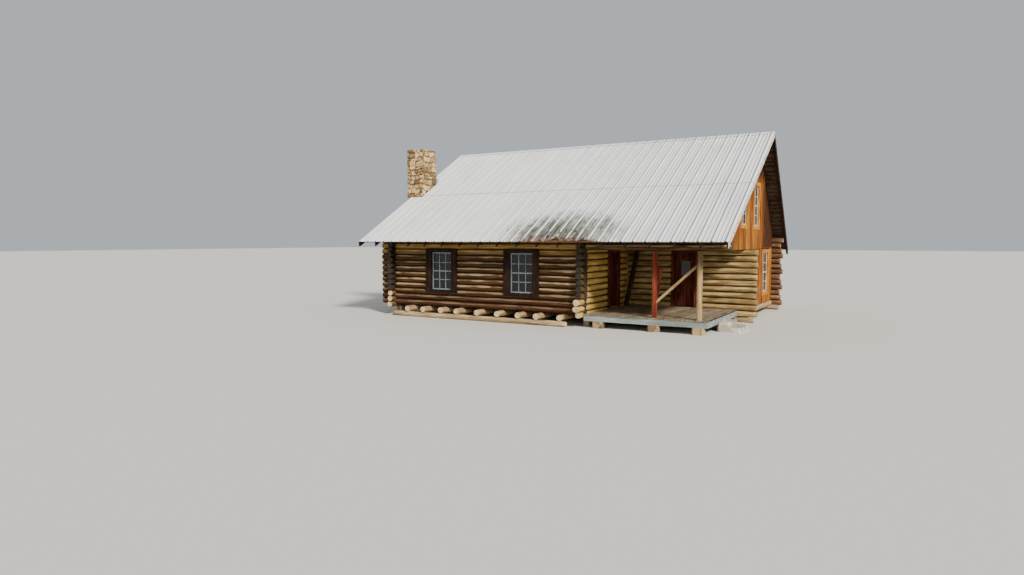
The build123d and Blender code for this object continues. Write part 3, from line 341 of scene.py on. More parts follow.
def front_log_material():
    """Scraped pine under the eave: ochre and brighter at the top, grey-brown below and reddish at the
    foot, darker over the porch, with a painted highlight along each log's shoulder, painted shade at
    the corners from a metre up, and dark in the joints. The grain is drawn 40 mm wide and the cracks
    20 mm, to show."""
    mat, tree, coord = blank("scraped_pine_front", 0.85, gloss=0.15)
    z = add(tree, "SeparateXYZ", coord, out="Z")
    grain = add(tree, "Mapping", coord, Scale=(1.1, 26.0, 26.0))
    grain = add(tree, "TexNoise", grain, None, 1.0, 6.0, 0.62, Distortion=0.6)
    patch = add(tree, "Mapping", coord, Scale=(0.7, 3.0, 3.0))
    patch = add(tree, "TexNoise", patch, None, 1.7, 4.0, 0.55)
    both = add(tree, "Math", patch, 0.25, operation="MULTIPLY")
    both = add(tree, "Math", grain, 0.75, both, operation="MULTIPLY_ADD")
    low = add(tree, "ValToRGB", both, stops=((0.30, "26150c"), (0.5, "4d311e"), (0.70, "7d5b3c")))
    mid = add(tree, "ValToRGB", both, stops=((0.30, "22160b"), (0.5, "4b331b"), (0.70, "765a36")))
    high = add(tree, "ValToRGB", both, stops=((0.30, "5c4520"), (0.5, "a2803e"), (0.70, "d8b870")))
    deep = add(tree, "ValToRGB", both, stops=((0.30, "1c130a"), (0.5, "443019"), (0.70, "7d6440")))
    colour = add(tree, "MixRGB", add(tree, "MapRange", z, 0.75, 1.15, **eased), low, mid)
    colour = add(tree, "MixRGB", add(tree, "MapRange", z, 2.3, 2.75, **eased), colour, high)

    above = add(tree, "Math", z, FRONT_BASE, operation="SUBTRACT")
    course = add(tree, "Math", above, COURSE, operation="DIVIDE")
    tone = add(tree, "Math", course, operation="FLOOR")
    tone = add(tree, "Math", tone, 1.37, operation="MULTIPLY")
    tone = add(tree, "TexWhiteNoise", None, tone, noise_dimensions="1D")
    tone = add(tree, "Math", tone, 0.5, operation="MULTIPLY")
    colour = add(tree, "MixRGB", tone, colour, lin("a79678"), blend_type="MULTIPLY")
    porch = add(tree, "SeparateXYZ", coord, out="X")
    porch = add(tree, "MapRange", porch, side_x + 0.05, side_x + 0.3, **eased)
    colour = add(tree, "MixRGB", porch, colour, deep)

    # Painted highlight: a pale band on each log's upper shoulder, weak below 0.8 m, full from 1.4 m up.
    shoulder = add(tree, "Math", course, operation="FRACT")
    shoulder = add(tree, "Math", shoulder, 0.72, operation="SUBTRACT")
    shoulder = add(tree, "Math", shoulder, operation="ABSOLUTE")
    shoulder = add(tree, "Math", patch, 0.8, shoulder, operation="MULTIPLY_ADD")
    lit = add(tree, "MapRange", shoulder, 0.55, 0.43, **eased)
    scraped = add(tree, "MapRange", z, 0.8, 1.4, 0.17, 0.47, **eased)
    lit = add(tree, "Math", lit, scraped, operation="MULTIPLY")
    colour = add(tree, "MixRGB", lit, colour, lin("cfb48a"))
    joint = add(tree, "Math", above, COURSE / 2, operation="PINGPONG")
    joint = add(tree, "MapRange", joint, 0.035, 0.012, 0.0, 0.8, **eased)
    colour = add(tree, "MixRGB", joint, colour, lin("120b07"))
    crack = add(tree, "Mapping", coord, Scale=(0.8, 50.0, 50.0))
    crack = add(tree, "TexNoise", crack, None, 1.0, 2.0, 0.5, Distortion=0.3)
    crack = add(tree, "MapRange", crack, 0.37, 0.31, 0.0, 0.8, **eased)
    colour = add(tree, "MixRGB", crack, colour, lin("150e09"))
    # Painted shade: near black at both corners, from about a metre up.
    for corner in (left_x, side_x):
        black = corner_shade(tree, coord, patch, "X", corner, 0.15)
        colour = add(tree, "MixRGB", black, colour, lin("120d0a"))
    relief = add(tree, "Math", crack, -0.75, grain, operation="MULTIPLY_ADD")
    return coat(mat, colour, relief, 0.6, 0.014)


lo_f, hi_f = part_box("front_wall_odd_logs")
lo_r, hi_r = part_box("rear_wall_odd_logs")
lo_b, hi_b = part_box("porch_back_wall_odd_logs")
lo_l, hi_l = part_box("left_wall_odd_logs")
lo_s, hi_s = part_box("porch_side_wall_odd_logs")
front_y, rear_y, back_y = (lo_f.y + hi_f.y) / 2, (lo_r.y + hi_r.y) / 2, (lo_b.y + hi_b.y) / 2
left_x, side_x = (lo_l.x + hi_l.x) / 2, (lo_s.x + hi_s.x) / 2

# The walls under the porch roof kept the yellow of scraped pine, lightened on the porch side wall as
# painted sunlight, and the rear and left ones are brown. Sawn ends of the front, left and porch side
# walls are painted near black as shade, the side walls' only from a metre up with pale fresh ends
# below, and the ends of the rear and porch back walls are tan.
row_x = ("Z", FRONT_BASE, COURSE)
row_y = ("Z", SIDE_BASE, COURSE)
corner_column = ("Y", front_y - 0.3, 0.46)
# Painted shade: near black log ends where they lie in shade.
shaded_ends = crumbly("shaded_pine_ends", "120e0c", "352a22")
pale_ends = crumbly("fresh_pine_ends", "a08258", "e6cc9f")
joint_moss = crumbly("dry_moss", "0d0906", "2a2014")
tan_ends = crumbly("aged_pine_ends", "5a3c26", "a97f52")
front_wood = front_log_material()
# Yellow scraped pine, with painted sunlight: its colours are lighter than the wood, as if in sun.
sunlit_side_wood = wood(
    "sunlit_scraped_pine_porch_side", 1, "7a5e2a", "d0aa58", "f6dc92", row_y, grey=0.12, apart=0.3,
    stain=corner_column,
)
back_wood = wood(
    "scraped_pine_porch_back", 0, "44321a", "a08350", "ead49c", row_x, grey=0.2, apart=0.35,
)
rear_wood = wood(
    "weathered_pine_rear", 0, "35251a", "745238", "a5865f", row_x, grey=0.35, apart=0.4,
)
left_wood = wood(
    "weathered_pine_left", 1, "35251a", "745238", "a5865f", row_y, grey=0.35, apart=0.4,
    stain=corner_column,
)

log_window_x = (left_x + 2.42, side_x - 2.33)
window_half = 0.505
window_gap = [(x - window_half, x + window_half, 1.03, 2.54) for x in log_window_x]
lo_bd, hi_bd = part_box("back_door_frame")
lo_sd, hi_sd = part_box("side_door_frame")
door_foot, door_head = 0.46, 2.55
back_gap = [(lo_bd.x + 0.05, hi_bd.x - 0.05, door_foot, door_head)]
side_gap = [(lo_sd.y + 0.115, hi_sd.y - 0.115, door_foot, door_head)]

# The front wall's top three logs run on over the porch, and the porch side wall's second and
# third logs stand out further at the corner.
wall(
    "front_wall_logs", 0, front_y, FRONT_BASE, 13, window_gap, [front_wood, shaded_ends, pale_ends],
    ("front_wall_odd_logs", "front_wall_even_logs"), 100,
    lambda n: (lo_f.x, hi_f.x if n > 9 else hi_s.x),
)
wall(
    "rear_wall_logs", 0, rear_y, BACK_BASE, 13, window_gap, [rear_wood, tan_ends, pale_ends],
    ("rear_wall_odd_logs", "rear_wall_even_logs"), 900, lambda n: (lo_r.x, hi_r.x - 0.05 * (n % 3)),
)
wall(
    "porch_back_wall_logs", 0, back_y, BACK_BASE, 11, back_gap, [back_wood, tan_ends, pale_ends],
    ("porch_back_wall_odd_logs", "porch_back_wall_even_logs"), 1700,
    lambda n: (lo_b.x, hi_b.x - 0.03 * (n % 2)),
)
wall(
    "left_wall_logs", 1, left_x, SIDE_BASE, 12, [], [left_wood, shaded_ends, pale_ends],
    ("left_wall_odd_logs", "left_wall_even_logs"), 2500,
    lambda n: (lo_l.y + 0.02 * (n % 3), hi_l.y), 1.0,
)
wall(
    "porch_side_wall_logs", 1, side_x, SIDE_BASE, 11, side_gap, [sunlit_side_wood, shaded_ends, pale_ends],
    ("porch_side_wall_odd_logs", "porch_side_wall_even_logs"), 3300,
    lambda n: (lo_s.y + (0 if n in (1, 2) else 0.2 + 0.015 * (n % 3)), hi_s.y), 1.0,
)

# Sills and joists: round pine logs. The sills lie along the ground, and the joists are let into
# the lowest course, their round ends standing out over the front sill, pale at the cut.

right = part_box("front_roof_sheet")[1].x
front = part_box("front_roof_sheet")[0].y
lo_j, hi_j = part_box("floor_joists")

# Logs near the ground are bleached to a grey tan, lighter than the walls above them.
sill_wood = wood("bleached_pine_sill", 0, "5a4630", "a68a64", "d8c29c", grey=0.4)
joist_wood = wood("bleached_pine_joists", 1, "57432d", "9a7e59", "cdb48d", grey=0.3)

SILL_RADIUS, SILL_HEIGHT, SILL_START = 0.090, 0.10, 13.05
sills = []
for end, depth, seed in ((5.49, 0.50, 41), (0.20, 5.00, 42), (0.20, 10.40, 43)):
    start, middle = right - SILL_START, front + depth
    arrays = log_arrays(
        0, start, right - end, middle, SILL_HEIGHT, SILL_RADIUS, SILL_RADIUS, seed, 1.2,
    )
    sills.append((arrays, 1))
o = join_logs("sill_logs_worn", sills, [sill_wood, pale_ends])
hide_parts("sill_logs")

JOIST_WIDE, JOIST_HIGH, JOIST_HEIGHT = 0.112, 0.108, 0.304
pen = (12.29, 11.55, 10.73, 9.98, 9.08, 8.22, 7.34, 6.62, 5.71)
hall = (4.3, 3.5, 2.7, 1.9, 1.2, 0.6)
rows = [(lo_j.y + 0.02 * (k % 3), place, 61 + 5 * k) for k, place in enumerate(pen)]
rows += [(back_y + 0.02, place, 161 + 5 * k) for k, place in enumerate(hall)]
joists = []
for start, place, seed in rows:
    arrays = log_arrays(1, start, hi_j.y, right - place, JOIST_HEIGHT, JOIST_WIDE, JOIST_HIGH, seed)
    joists.append((arrays, 1))
o = join_logs("floor_joists_worn", joists, [joist_wood, pale_ends])
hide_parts("floor_joists")

# Board walls of the right end and both gables: vertical pine boards 0.19 m wide, nailed on with
# open joints. The sun has turned them orange-brown, and under the roof they are painted dark as shade.

BOARD, BOARD_START, BOARD_THICK, JOINT = 0.19, 0.03, 0.018, 0.003
FRONT_PITCH, REAR_PITCH = math.radians(30), math.radians(48.4)
LATH_DEPTH = 0.056
ridge_y = front + 7.14
ridge_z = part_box("ridge_cap")[1].z
lo_g, hi_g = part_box("right_gable_boards")
lo_w, hi_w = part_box("right_wall_boards")
lo_lg, hi_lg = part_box("left_gable_boards")


def rear_eave_shadow(tree, coord):
    """Painted shade: how dark the gable's boards are made at the top and under the rear slope."""
    ragged = add(tree, "Mapping", coord, Scale=(1.0, 5.0, 1.0))
    ragged = add(tree, "TexNoise", ragged, None, 1.5, 3.0, 0.55)
    y, z = add(tree, "SeparateXYZ", coord, out="Y"), add(tree, "SeparateXYZ", coord, out="Z")
    rear = add(tree, "Math", ragged, 1.2, y, operation="MULTIPLY_ADD")
    rear = add(tree, "MapRange", rear, 2.9, 3.6, **eased)
    top = add(tree, "Math", ragged, 1.2, z, operation="MULTIPLY_ADD")
    top = add(tree, "MapRange", top, 5.5, 6.2, **eased)
    dark = add(tree, "Math", rear, top, operation="MAXIMUM")
    gable = add(tree, "MapRange", z, 2.55, 2.7, 0.0, 0.9, **eased)
    return add(tree, "Math", dark, gable, operation="MULTIPLY")


def coat_nodes(mat, *names):
    """Give pieces of the frame one material."""
    for name in names:
        nodes[name].data.materials.clear()
        nodes[name].data.materials.append(mat)


def under_lath(y):
    """Height of the lath's underside over a place: the ridge less the slope's fall, on the lower
    side of the two slopes."""
    front_z = ridge_z - (ridge_y - y) * math.tan(FRONT_PITCH) - LATH_DEPTH / math.cos(FRONT_PITCH)
    rear_z = ridge_z - (y - ridge_y) * math.tan(REAR_PITCH) - LATH_DEPTH / math.cos(REAR_PITCH)
    return np.minimum(front_z, rear_z)


def boards(name, x0, x1, y0, y1, foot, openings, seed):
    """Vertical boards as prisms between two X planes: each is cut by openings (near, far, foot,
    head) into lengths, its top follows the roof's line, and its face lies back by up to 4 mm."""
    r = np.random.default_rng(seed)
    first = math.ceil((y0 + 0.05 - BOARD_START) / BOARD)
    seams = [BOARD_START + BOARD * k for k in range(first, first + 80)]
    sides = [side for near, far, lo, hi in openings for side in (near, far) if y0 < side < y1]
    seams = [y for y in seams if y < y1 - 0.05 and all(abs(y - side) > 0.02 for side in sides)]
    edges = sorted([y0, y1] + seams + sides)
    verts, quads = [], []
    for a, b in zip(edges[:-1], edges[1:]):
        a, b = a + JOINT, b - JOINT
        cuts = sorted((lo, hi) for near, far, lo, hi in openings if near < b - 0.02 and far > a + 0.02)
        tops = [float(under_lath(a)), float(under_lath(b))]
        low = foot + r.uniform(0, 0.015)
        stages = []
        for lo, hi in cuts:
            if lo > low + 0.05:
                stages.append((low, (lo, lo)))
            low = hi
        if min(tops) > low + 0.02:
            stages.append((low, tuple(tops)))
        lift = r.uniform(0, 0.004)
        for bottom, (ta, tb) in stages:
            k = len(verts)
            for x in (x0, x1 - lift):
                verts += [(x, a, bottom), (x, b, bottom), (x, b, tb), (x, a, ta)]
            faces = [(4, 5, 6, 7), (3, 2, 1, 0), (0, 1, 5, 4), (1, 2, 6, 5), (2, 3, 7, 6), (3, 0, 4, 7)]
            quads += [tuple(k + c for c in face) for face in faces]
    o = mesh_object(name, verts, quads, np.zeros((0, 3)), [board_wood], 0, 0, False)


# Resin and sun give the boards a warm, streaky orange. What shows through the joints is dark.
# Painted shade: the gable's boards are made dark at the top and under the rear slope.
board_wood = wood(
    "sunburnt_pine_boards", 2, "3c1c08", "ac6618", "e6a84a", ("Y", BOARD_START, BOARD), coarse=0.8,
    grey=0.0, apart=0.8, seam=0.024, shaded=rear_eave_shadow,
)
dark_board = wood("shaded_pine_backing", 2, "140d08", "22160e", "33241a", grey=0.1)

wall_top = 2.615
gable_windows = [(front + y - 0.58, front + y + 0.58, 3.39, 5.13) for y in (4.70, 6.80)]
end_window = [(front + 8.88 - 0.69, front + 8.88 + 0.69, 0.75, 2.57)]
above_wall = [(lo_w.y, hi_w.y, wall_top, 9.0)]
inner = 0.25
boards(
    "gable_board_skin", hi_g.x, hi_g.x + BOARD_THICK, lo_g.y + inner, hi_g.y - inner, 2.62,
    gable_windows, 5,
)
boards("end_board_skin", hi_w.x, hi_w.x + 0.0181, lo_w.y, hi_w.y, 0.43, above_wall + end_window, 6)
boards("left_board_skin", lo_lg.x - BOARD_THICK, lo_lg.x, lo_lg.y + inner, hi_lg.y - inner, 2.96, [], 7)
coat_nodes(dark_board, "right_gable_boards", "right_wall_boards", "left_gable_boards")

# Roof sheets: thin galvanised steel, nailed to the lath, with a 19 mm rib every 0.4064 m and two
# low swages between, lapped once up the slope. Leaf mould and rust have stained it over the
# porch's corner, where the eave has rusted through to a ragged edge.

RIB_SPACING, RIB_HEIGHT = 0.4064, 0.019
ROOF_LENGTH, ROOF_DEPTH = 14.39, 11.08
SHEET_THICK = 0.0025
roof_middle = right - ROOF_LENGTH / 2
rust_x = right - 5.3


def roof_material():
    """Old galvanised steel: nearly white and matt from zinc oxide, with painted shade behind each rib
    and swage, stronger towards the right, streaks about 0.1 m wide down the slope, black mould in
    the valleys and red-brown rust with holes at the eave. Real streaks are finer, and wouldn't show."""
    mat, tree, coord = blank("galvanised_steel", 0.45, 0.15)
    x, y = add(tree, "SeparateXYZ", coord, out="X"), add(tree, "SeparateXYZ", coord, out="Y")
    cloud = add(tree, "TexNoise", coord, None, 0.65, 4.0, 0.55)
    streak = add(tree, "Mapping", coord, Scale=(9.0, 0.45, 0.45))
    streak = add(tree, "TexNoise", streak, None, 1.0, 5.0, 0.6)
    both = add(tree, "Math", streak, 0.6, operation="MULTIPLY")
    both = add(tree, "Math", cloud, 0.4, both, operation="MULTIPLY_ADD")
    colour = add(tree, "ValToRGB", both, stops=((0.35, "dcdee0"), (0.5, "eff0f1"), (0.65, "fafafa")))

    first_rib = roof_middle + RIB_SPACING / 2
    turns = add(tree, "Math", x, first_rib, operation="SUBTRACT")
    turns = add(tree, "Math", turns, RIB_SPACING, operation="DIVIDE")
    turns = add(tree, "Math", turns, 0.5, operation="ADD")
    off = add(tree, "Math", turns, operation="FRACT")
    off = add(tree, "Math", off, 0.5, operation="SUBTRACT")
    off = add(tree, "Math", off, RIB_SPACING, operation="MULTIPLY")
    third = add(tree, "Math", turns, 3.0, operation="MULTIPLY")
    third = add(tree, "Math", third, operation="FRACT")
    third = add(tree, "Math", third, 0.5, operation="SUBTRACT")
    third = add(tree, "Math", third, RIB_SPACING / 3, operation="MULTIPLY")
    # Painted shade: a dark line behind each rib and swage, stronger towards the right.
    shade_strength = add(tree, "MapRange", x, -3.0, 5.0, 0.45, 0.95, **eased)
    for place, (start, full, fade, end), share, tint in (
        (third, (-0.05, -0.035, -0.004, -0.016), 0.75, "7b8084"),
        (off, (-0.075, -0.05, -0.008, -0.022), 0.95, "565b5f"),
    ):
        shade = add(tree, "MapRange", place, start, full, 0.0, share, **eased)
        limit = add(tree, "MapRange", place, fade, end, **eased)
        shade = add(tree, "Math", shade, limit, operation="MULTIPLY")
        shade = add(tree, "Math", shade, shade_strength, operation="MULTIPLY")
        colour = add(tree, "MixRGB", shade, colour, lin(tint))

    along = add(tree, "Math", x, right - 5.75, operation="SUBTRACT")
    along = add(tree, "Math", along, 3.2, operation="DIVIDE")
    up = add(tree, "Math", y, front + 0.55, operation="SUBTRACT")
    up = add(tree, "Math", up, 1.75, operation="DIVIDE")
    edge = add(tree, "Mapping", coord, Scale=(3.0, 1.2, 1.2))
    edge = add(tree, "TexNoise", edge, None, 1.7, 6.0, 0.7)
    far = add(tree, "Math", up, up, operation="MULTIPLY")
    far = add(tree, "Math", along, along, far, operation="MULTIPLY_ADD")
    far = add(tree, "Math", edge, 1.5, far, operation="MULTIPLY_ADD")
    mould = add(tree, "MapRange", far, 1.55, 0.75, **eased)
    valley = add(tree, "Math", off, operation="ABSOLUTE")
    valley = add(tree, "MapRange", valley, 0.02, 0.06, 0.15, 0.95, **eased)
    mould = add(tree, "Math", mould, valley, operation="MULTIPLY")
    leaf_black = add(tree, "ValToRGB", streak, stops=((0.4, "22251a"), (0.62, "74755f")))
    colour = add(tree, "MixRGB", mould, colour, leaf_black)

    aside = add(tree, "Math", along, operation="ABSOLUTE")
    from_eave = add(tree, "Math", y, front, operation="SUBTRACT")
    near = add(tree, "Math", edge, 0.9, from_eave, operation="MULTIPLY_ADD")
    rust = add(tree, "MapRange", near, 0.85, 0.5, 0.0, 0.9, **eased)
    limit = add(tree, "MapRange", aside, 0.48, 0.34, **eased)
    rust = add(tree, "Math", rust, limit, operation="MULTIPLY")
    red_brown = add(tree, "ValToRGB", edge, stops=((0.4, "3e2218"), (0.6, "a57b68")))
    colour = add(tree, "MixRGB", rust, colour, red_brown)
    holes = add(tree, "Mapping", coord, Scale=(3.5, 1.2, 1.2))
    holes = add(tree, "TexNoise", holes, None, 2.3, 4.0, 0.6)
    holes = add(tree, "MapRange", holes, 0.56, 0.62, 0.0, 0.85, **eased)
    eave = add(tree, "MapRange", from_eave, 1.0, 0.6, **eased)
    limit = add(tree, "MapRange", aside, 0.46, 0.3, **eased)
    holes = add(tree, "Math", holes, eave, operation="MULTIPLY")
    holes = add(tree, "Math", holes, limit, operation="MULTIPLY")
    colour = add(tree, "MixRGB", holes, colour, lin("1b1712"))
    lap = add(tree, "Math", y, front + 3.4, operation="SUBTRACT")
    lap = add(tree, "Math", lap, operation="ABSOLUTE")
    lap = add(tree, "MapRange", lap, 0.03, 0.012, 0.0, 0.6, **eased)
    colour = add(tree, "MixRGB", lap, colour, lin("55575a"))

    rough = add(tree, "Math", mould, 0.4, 0.42, operation="MULTIPLY_ADD")
    tree.links.new(rough, tree.nodes["Principled BSDF"].inputs["Roughness"])
    return coat(mat, colour, add(tree, "TexNoise", coord, None, 3.0, 3.0, 0.55), 0.12, 0.02)


roof_steel = roof_material()

# Its underside has a brown film of dust and smoke.
under_steel, tree, coord = blank("dusty_steel_underside", 0.7, 0.2)
dust = add(tree, "TexNoise", coord, None, 2.5, 4.0, 0.55)
coat(under_steel, add(tree, "ValToRGB", dust, stops=((0.4, "2e2822"), (0.6, "5a5148"))))


def sheet(name, pitch, rear, node):
    """One slope's sheet as a thin closed shell: the ribs' profile along the eave, carried up the
    slope, the front eave moved in by a jagged line where it has rusted away, and the faces in
    the chimney's notch left out."""
    across = np.array([-0.150, -0.1355, -0.121, -0.034, -0.021, -0.017])
    across = np.concatenate([across, -across[::-1]])
    heights = np.array([0, 0.008, 0, 0, 0.016, RIB_HEIGHT, RIB_HEIGHT, 0.016, 0, 0, 0.008, 0])
    ribs = roof_middle + (np.arange(36) - 17.5) * RIB_SPACING
    xs = (ribs[:, None] + across).ravel()
    hs = np.tile(heights, 36)
    keep = (xs > right - ROOF_LENGTH + 0.005) & (xs < right - 0.005)
    xs, hs = xs[keep], hs[keep]
    xs = np.concatenate([[right - ROOF_LENGTH], xs, [right]])
    hs = np.concatenate([[0.0], hs, [0.0]])
    run = front + ROOF_DEPTH - ridge_y if rear else ridge_y - front
    t = np.linspace(0, 1, 44)[:, None]
    edge = np.zeros_like(xs)
    from_rust = np.abs(xs - rust_x)
    if not rear:
        r = np.random.default_rng(3)
        inside = np.clip(1 - (from_rust / 1.35) ** 4, 0, 1)
        knots = np.linspace(right - 15, right + 1, 146)
        jag = np.interp(xs, knots, r.uniform(0, 1, len(knots)))
        edge = inside * (0.03 + 0.30 * jag ** 2)
    d = edge + (run - 0.002 - edge) * t
    lift = hs - RIB_HEIGHT - 0.0015
    if not rear:
        lift = lift - 0.02 * np.clip(1 - (from_rust / 1.4) ** 2, 0, 1) * np.clip(1 - d / 0.9, 0, 1)
    z = ridge_z - run * math.tan(pitch) + d * math.tan(pitch) + lift / math.cos(pitch)
    y = (front + ROOF_DEPTH - d) if rear else (front + d)
    x = np.broadcast_to(xs, y.shape)
    top = np.stack([x, y, z], -1)
    low = top.copy()
    low[..., 2] -= SHEET_THICK
    n, m = y.shape
    keep_face = np.ones((n - 1, m - 1), bool)
    if not rear:
        cy = (y[:-1, :-1] + y[1:, 1:]) / 2 - front
        cx = right - (xs[:-1] + xs[1:]) / 2
        slant = 4.5 + (cx - 13.8) / 0.59 * 0.69
        keep_face &= ~((cx > 13.78) & (cy > 3.36) & (cy < slant))
    k = (np.arange(n - 1)[:, None] * m + np.arange(m - 1))[keep_face]
    quads = np.stack([k, k + 1, k + m + 1, k + m], -1)
    rim = np.arange(m - 1)
    front_rim = np.stack([rim + n * m, rim + 1 + n * m, rim + 1, rim], -1)
    if rear:
        quads, front_rim = quads[:, ::-1], front_rim[:, ::-1]
    under = quads[:, ::-1] + n * m
    verts = np.concatenate([top.reshape(-1, 3), low.reshape(-1, 3)])
    side = np.concatenate([np.zeros(len(quads)), np.ones(len(under)), np.zeros(len(front_rim))])
    quads = np.concatenate([quads, under, front_rim])
    o = mesh_object(name, verts, quads, np.zeros((0, 3)), [roof_steel, under_steel], side, 0, False)
    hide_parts(node)


sheet("front_roof_steel", FRONT_PITCH, False, "front_roof_sheet")
sheet("rear_roof_steel", REAR_PITCH, True, "rear_roof_sheet")
coat_nodes(roof_steel, "ridge_cap")

# Roof timber and floors: rough sawn pine, nailed. Lath, ridge board and floors are brown with age,
# the rafters and loft joists are painted nearly black as shade, and the rake boards over the
# gables are pale on the right gable's front slope and dark brown elsewhere.


def second_coat(mesh, mat, chosen):
    """Give the faces whose middle is chosen a second material."""
    if mat.name not in mesh.materials:
        mesh.materials.append(mat)
    for face in mesh.polygons:
        if chosen(face.center):
            face.material_index = 1


# Old sawn wood under the roof is dull, the rafters painted near black as shade; the right front rake is
# pale.
timber_x = wood("rough_sawn_lath", 0, "22140b", "4c3322", "74553a", grey=0.1)
# Painted shade: rafters and loft joists made nearly black.
timber_y = wood("shade_darkened_rafters", 1, "0e0905", "20160d", "3a2a1b", grey=0.05)
rake_wood = wood("pale_pine_rake", 1, "97897a", "c9c1b6", "ece7df", grey=0.25)
brown_rake = wood("brown_pine_rake", 1, "170e08", "38241a", "5a4030", grey=0.1)
coat_nodes(timber_y, "rafters", "loft_joists")
coat_nodes(timber_x, "roof_lath", "ridge_board", "loft_floor", "floor_boards")
coat_nodes(rake_wood, "rake_boards")
second_coat(nodes["rake_boards"].data, brown_rake, lambda c: c.y > ridge_y - 0.05 or c.x < 0)

# Windows: pine sashes painted white, six panes over six, in wide dark casings nailed to the logs
# and in plain board casings on the end wall.

# The paint has gone chalky, and looks blue-grey in the shade of the front eave.
casing = wood("dark_stained_pine", 2, "0c0605", "1f100b", "3a1f16", grey=0.05)
end_casing = wood("sunburnt_pine_casing", 2, "6a320c", "b4701e", "e6ae58", grey=0.0)
white = wood("chalky_white_paint", 2, "868e92", "b0b7ba", "d6dadb", rough=0.6, grey=0.12)
shaded_white = wood("shaded_white_paint", 2, "4c565b", "748086", "9ca8ad", rough=0.6, grey=0.12)

# Old drawn glass: smooth and dark from the room behind it, with slow waves 0.15 m wide.
glass, tree, coord = blank("drawn_window_glass", 0.08)
surface = tree.nodes["Principled BSDF"].inputs
surface["IOR"].default_value = 1.5
surface["Alpha"].default_value = 0.8
coat(glass, lin("0b1014"), add(tree, "TexNoise", coord, None, 6.0, 2.0, 0.55), 0.05, 0.01)

coat_nodes(casing, "log_window_frames")
coat_nodes(end_casing, "end_window_frames")
coat_nodes(white, "window_sashes")
coat_nodes(glass, "window_panes", "back_door_glass")


def in_front_shade(c):
    return c.y < front_y + 0.3


second_coat(nodes["window_sashes"].data, shaded_white, in_front_shade)

# Thin bars between the panes: two upright and one level in each sash of the log walls, one
# upright and one level on the end wall.
HALF_BAR, BAR_FRONT, BAR_BACK = 0.011, 0.066, 0.094
bars = []
for x in log_window_x:
    for y0, y1 in ((lo_f.y + BAR_FRONT, lo_f.y + BAR_BACK), (hi_r.y - BAR_BACK, hi_r.y - BAR_FRONT)):
        for share in (-1, 1):
            bar_x = x + share * 0.84 / 6
            bars.append(((bar_x - HALF_BAR, y0, 1.115), (bar_x + HALF_BAR, y1, 2.455)))
        for z in (1.46, 2.11):
            bars.append(((x - 0.42, y0, z - HALF_BAR), (x + 0.42, y1, z + HALF_BAR)))
x0, x1 = hi_g.x - 0.064, hi_g.x - 0.036
for place, half, low, high in (
    (4.70, 0.405, 3.545, 4.975), (6.80, 0.405, 3.545, 4.975), (8.88, 0.515, 0.905, 2.415),
):
    y, middle = front + place, (low + high) / 2
    bars.append(((x0, y - HALF_BAR, low), (x1, y + HALF_BAR, high)))
    for z in ((low + middle) / 2, (high + middle) / 2):
        bars.append(((x0, y - half, z - HALF_BAR), (x1, y + half, z + HALF_BAR)))
o = boxes("window_bars", bars, [white, shaded_white])
second_coat(o.data, shaded_white, in_front_shade)

# Doors and their frames: pine boards painted red-brown, long faded, on iron pins and knuckles.

door_wood = wood("faded_red_door_boards", 2, "2a100a", "5e2a1b", "8a4a33", ("Y", 0.0, 0.13), grey=0.12)
coat_nodes(door_wood, "side_door_frame", "back_door_frame", "side_door", "back_door")

# Wrought iron under an even rust: dull, brown-black, with specks of 15 mm.
iron, tree, coord = blank("rusty_wrought_iron", 0.75, 0.6)
specks = add(tree, "TexNoise", coord, None, 60.0, 4.0, 0.55)
coat(iron, add(tree, "ValToRGB", specks, stops=((0.4, "1a1310"), (0.6, "3d2418"))))
coat_nodes(iron, "door_hinge_pins", "side_door_hinges", "back_door_hinges")

# Porch: worn floor boards over a rim painted grey-green, a round pale post, a red-brown square
# post, a pale pole nailed between them and what leans there.


def roof_shadow_on_post(tree, coord):
    """Painted shade: how dark the post is made from 1.75 m up, in the roof's shadow."""
    z = add(tree, "SeparateXYZ", coord, out="Z")
    return add(tree, "MapRange", z, 1.75, 2.35, 0.0, 0.75, **eased)


# Boards walked on lose their gloss and go grey-brown, and the rim's old paint is chalky.
floor_wood = wood(
    "worn_pine_floor", 1, "5d5040", "8c7c66", "b3a48c", ("X", 0.0, 0.14), coarse=0.5, grey=0.4,
    apart=0.6, seam=0.012,
)
rim_wood = wood("grey_green_painted_pine", 0, "505b57", "828d88", "b4bcb5", grey=0.2)
# Painted shade: the round post is made darker at its top, in the roof's shadow.
post_wood = wood("peeled_pine_post", 2, "6b5334", "a98c60", "d6bf93", grey=0.3, shaded=roof_shadow_on_post)
red_wood = wood("red_stained_pine", 2, "3c150b", "722f1c", "9c5238", grey=0.1)
dark_wood = wood("dark_pine_pole", 2, "17100b", "2f2018", "4a3628", grey=0.1)
coat_nodes(floor_wood, "porch_floor")
coat_nodes(rim_wood, "porch_frame")
coat_nodes(post_wood, "porch_brace", "porch_posts")
coat_nodes(dark_wood, "leaning_timbers")
lo_p, hi_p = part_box("porch_posts")
lo_t, hi_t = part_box("leaning_timbers")
second_coat(nodes["porch_posts"].data, red_wood, lambda c: c.x < (lo_p.x + hi_p.x) / 2)
second_coat(nodes["leaning_timbers"].data, red_wood, lambda c: c.y < (lo_t.y + hi_t.y) / 2 - 0.5)

# Masonry: a chimney of split tan sandstone laid in uneven courses in sandy mortar, round
# fieldstones under the sills and the porch, and two pale slabs as porch steps.


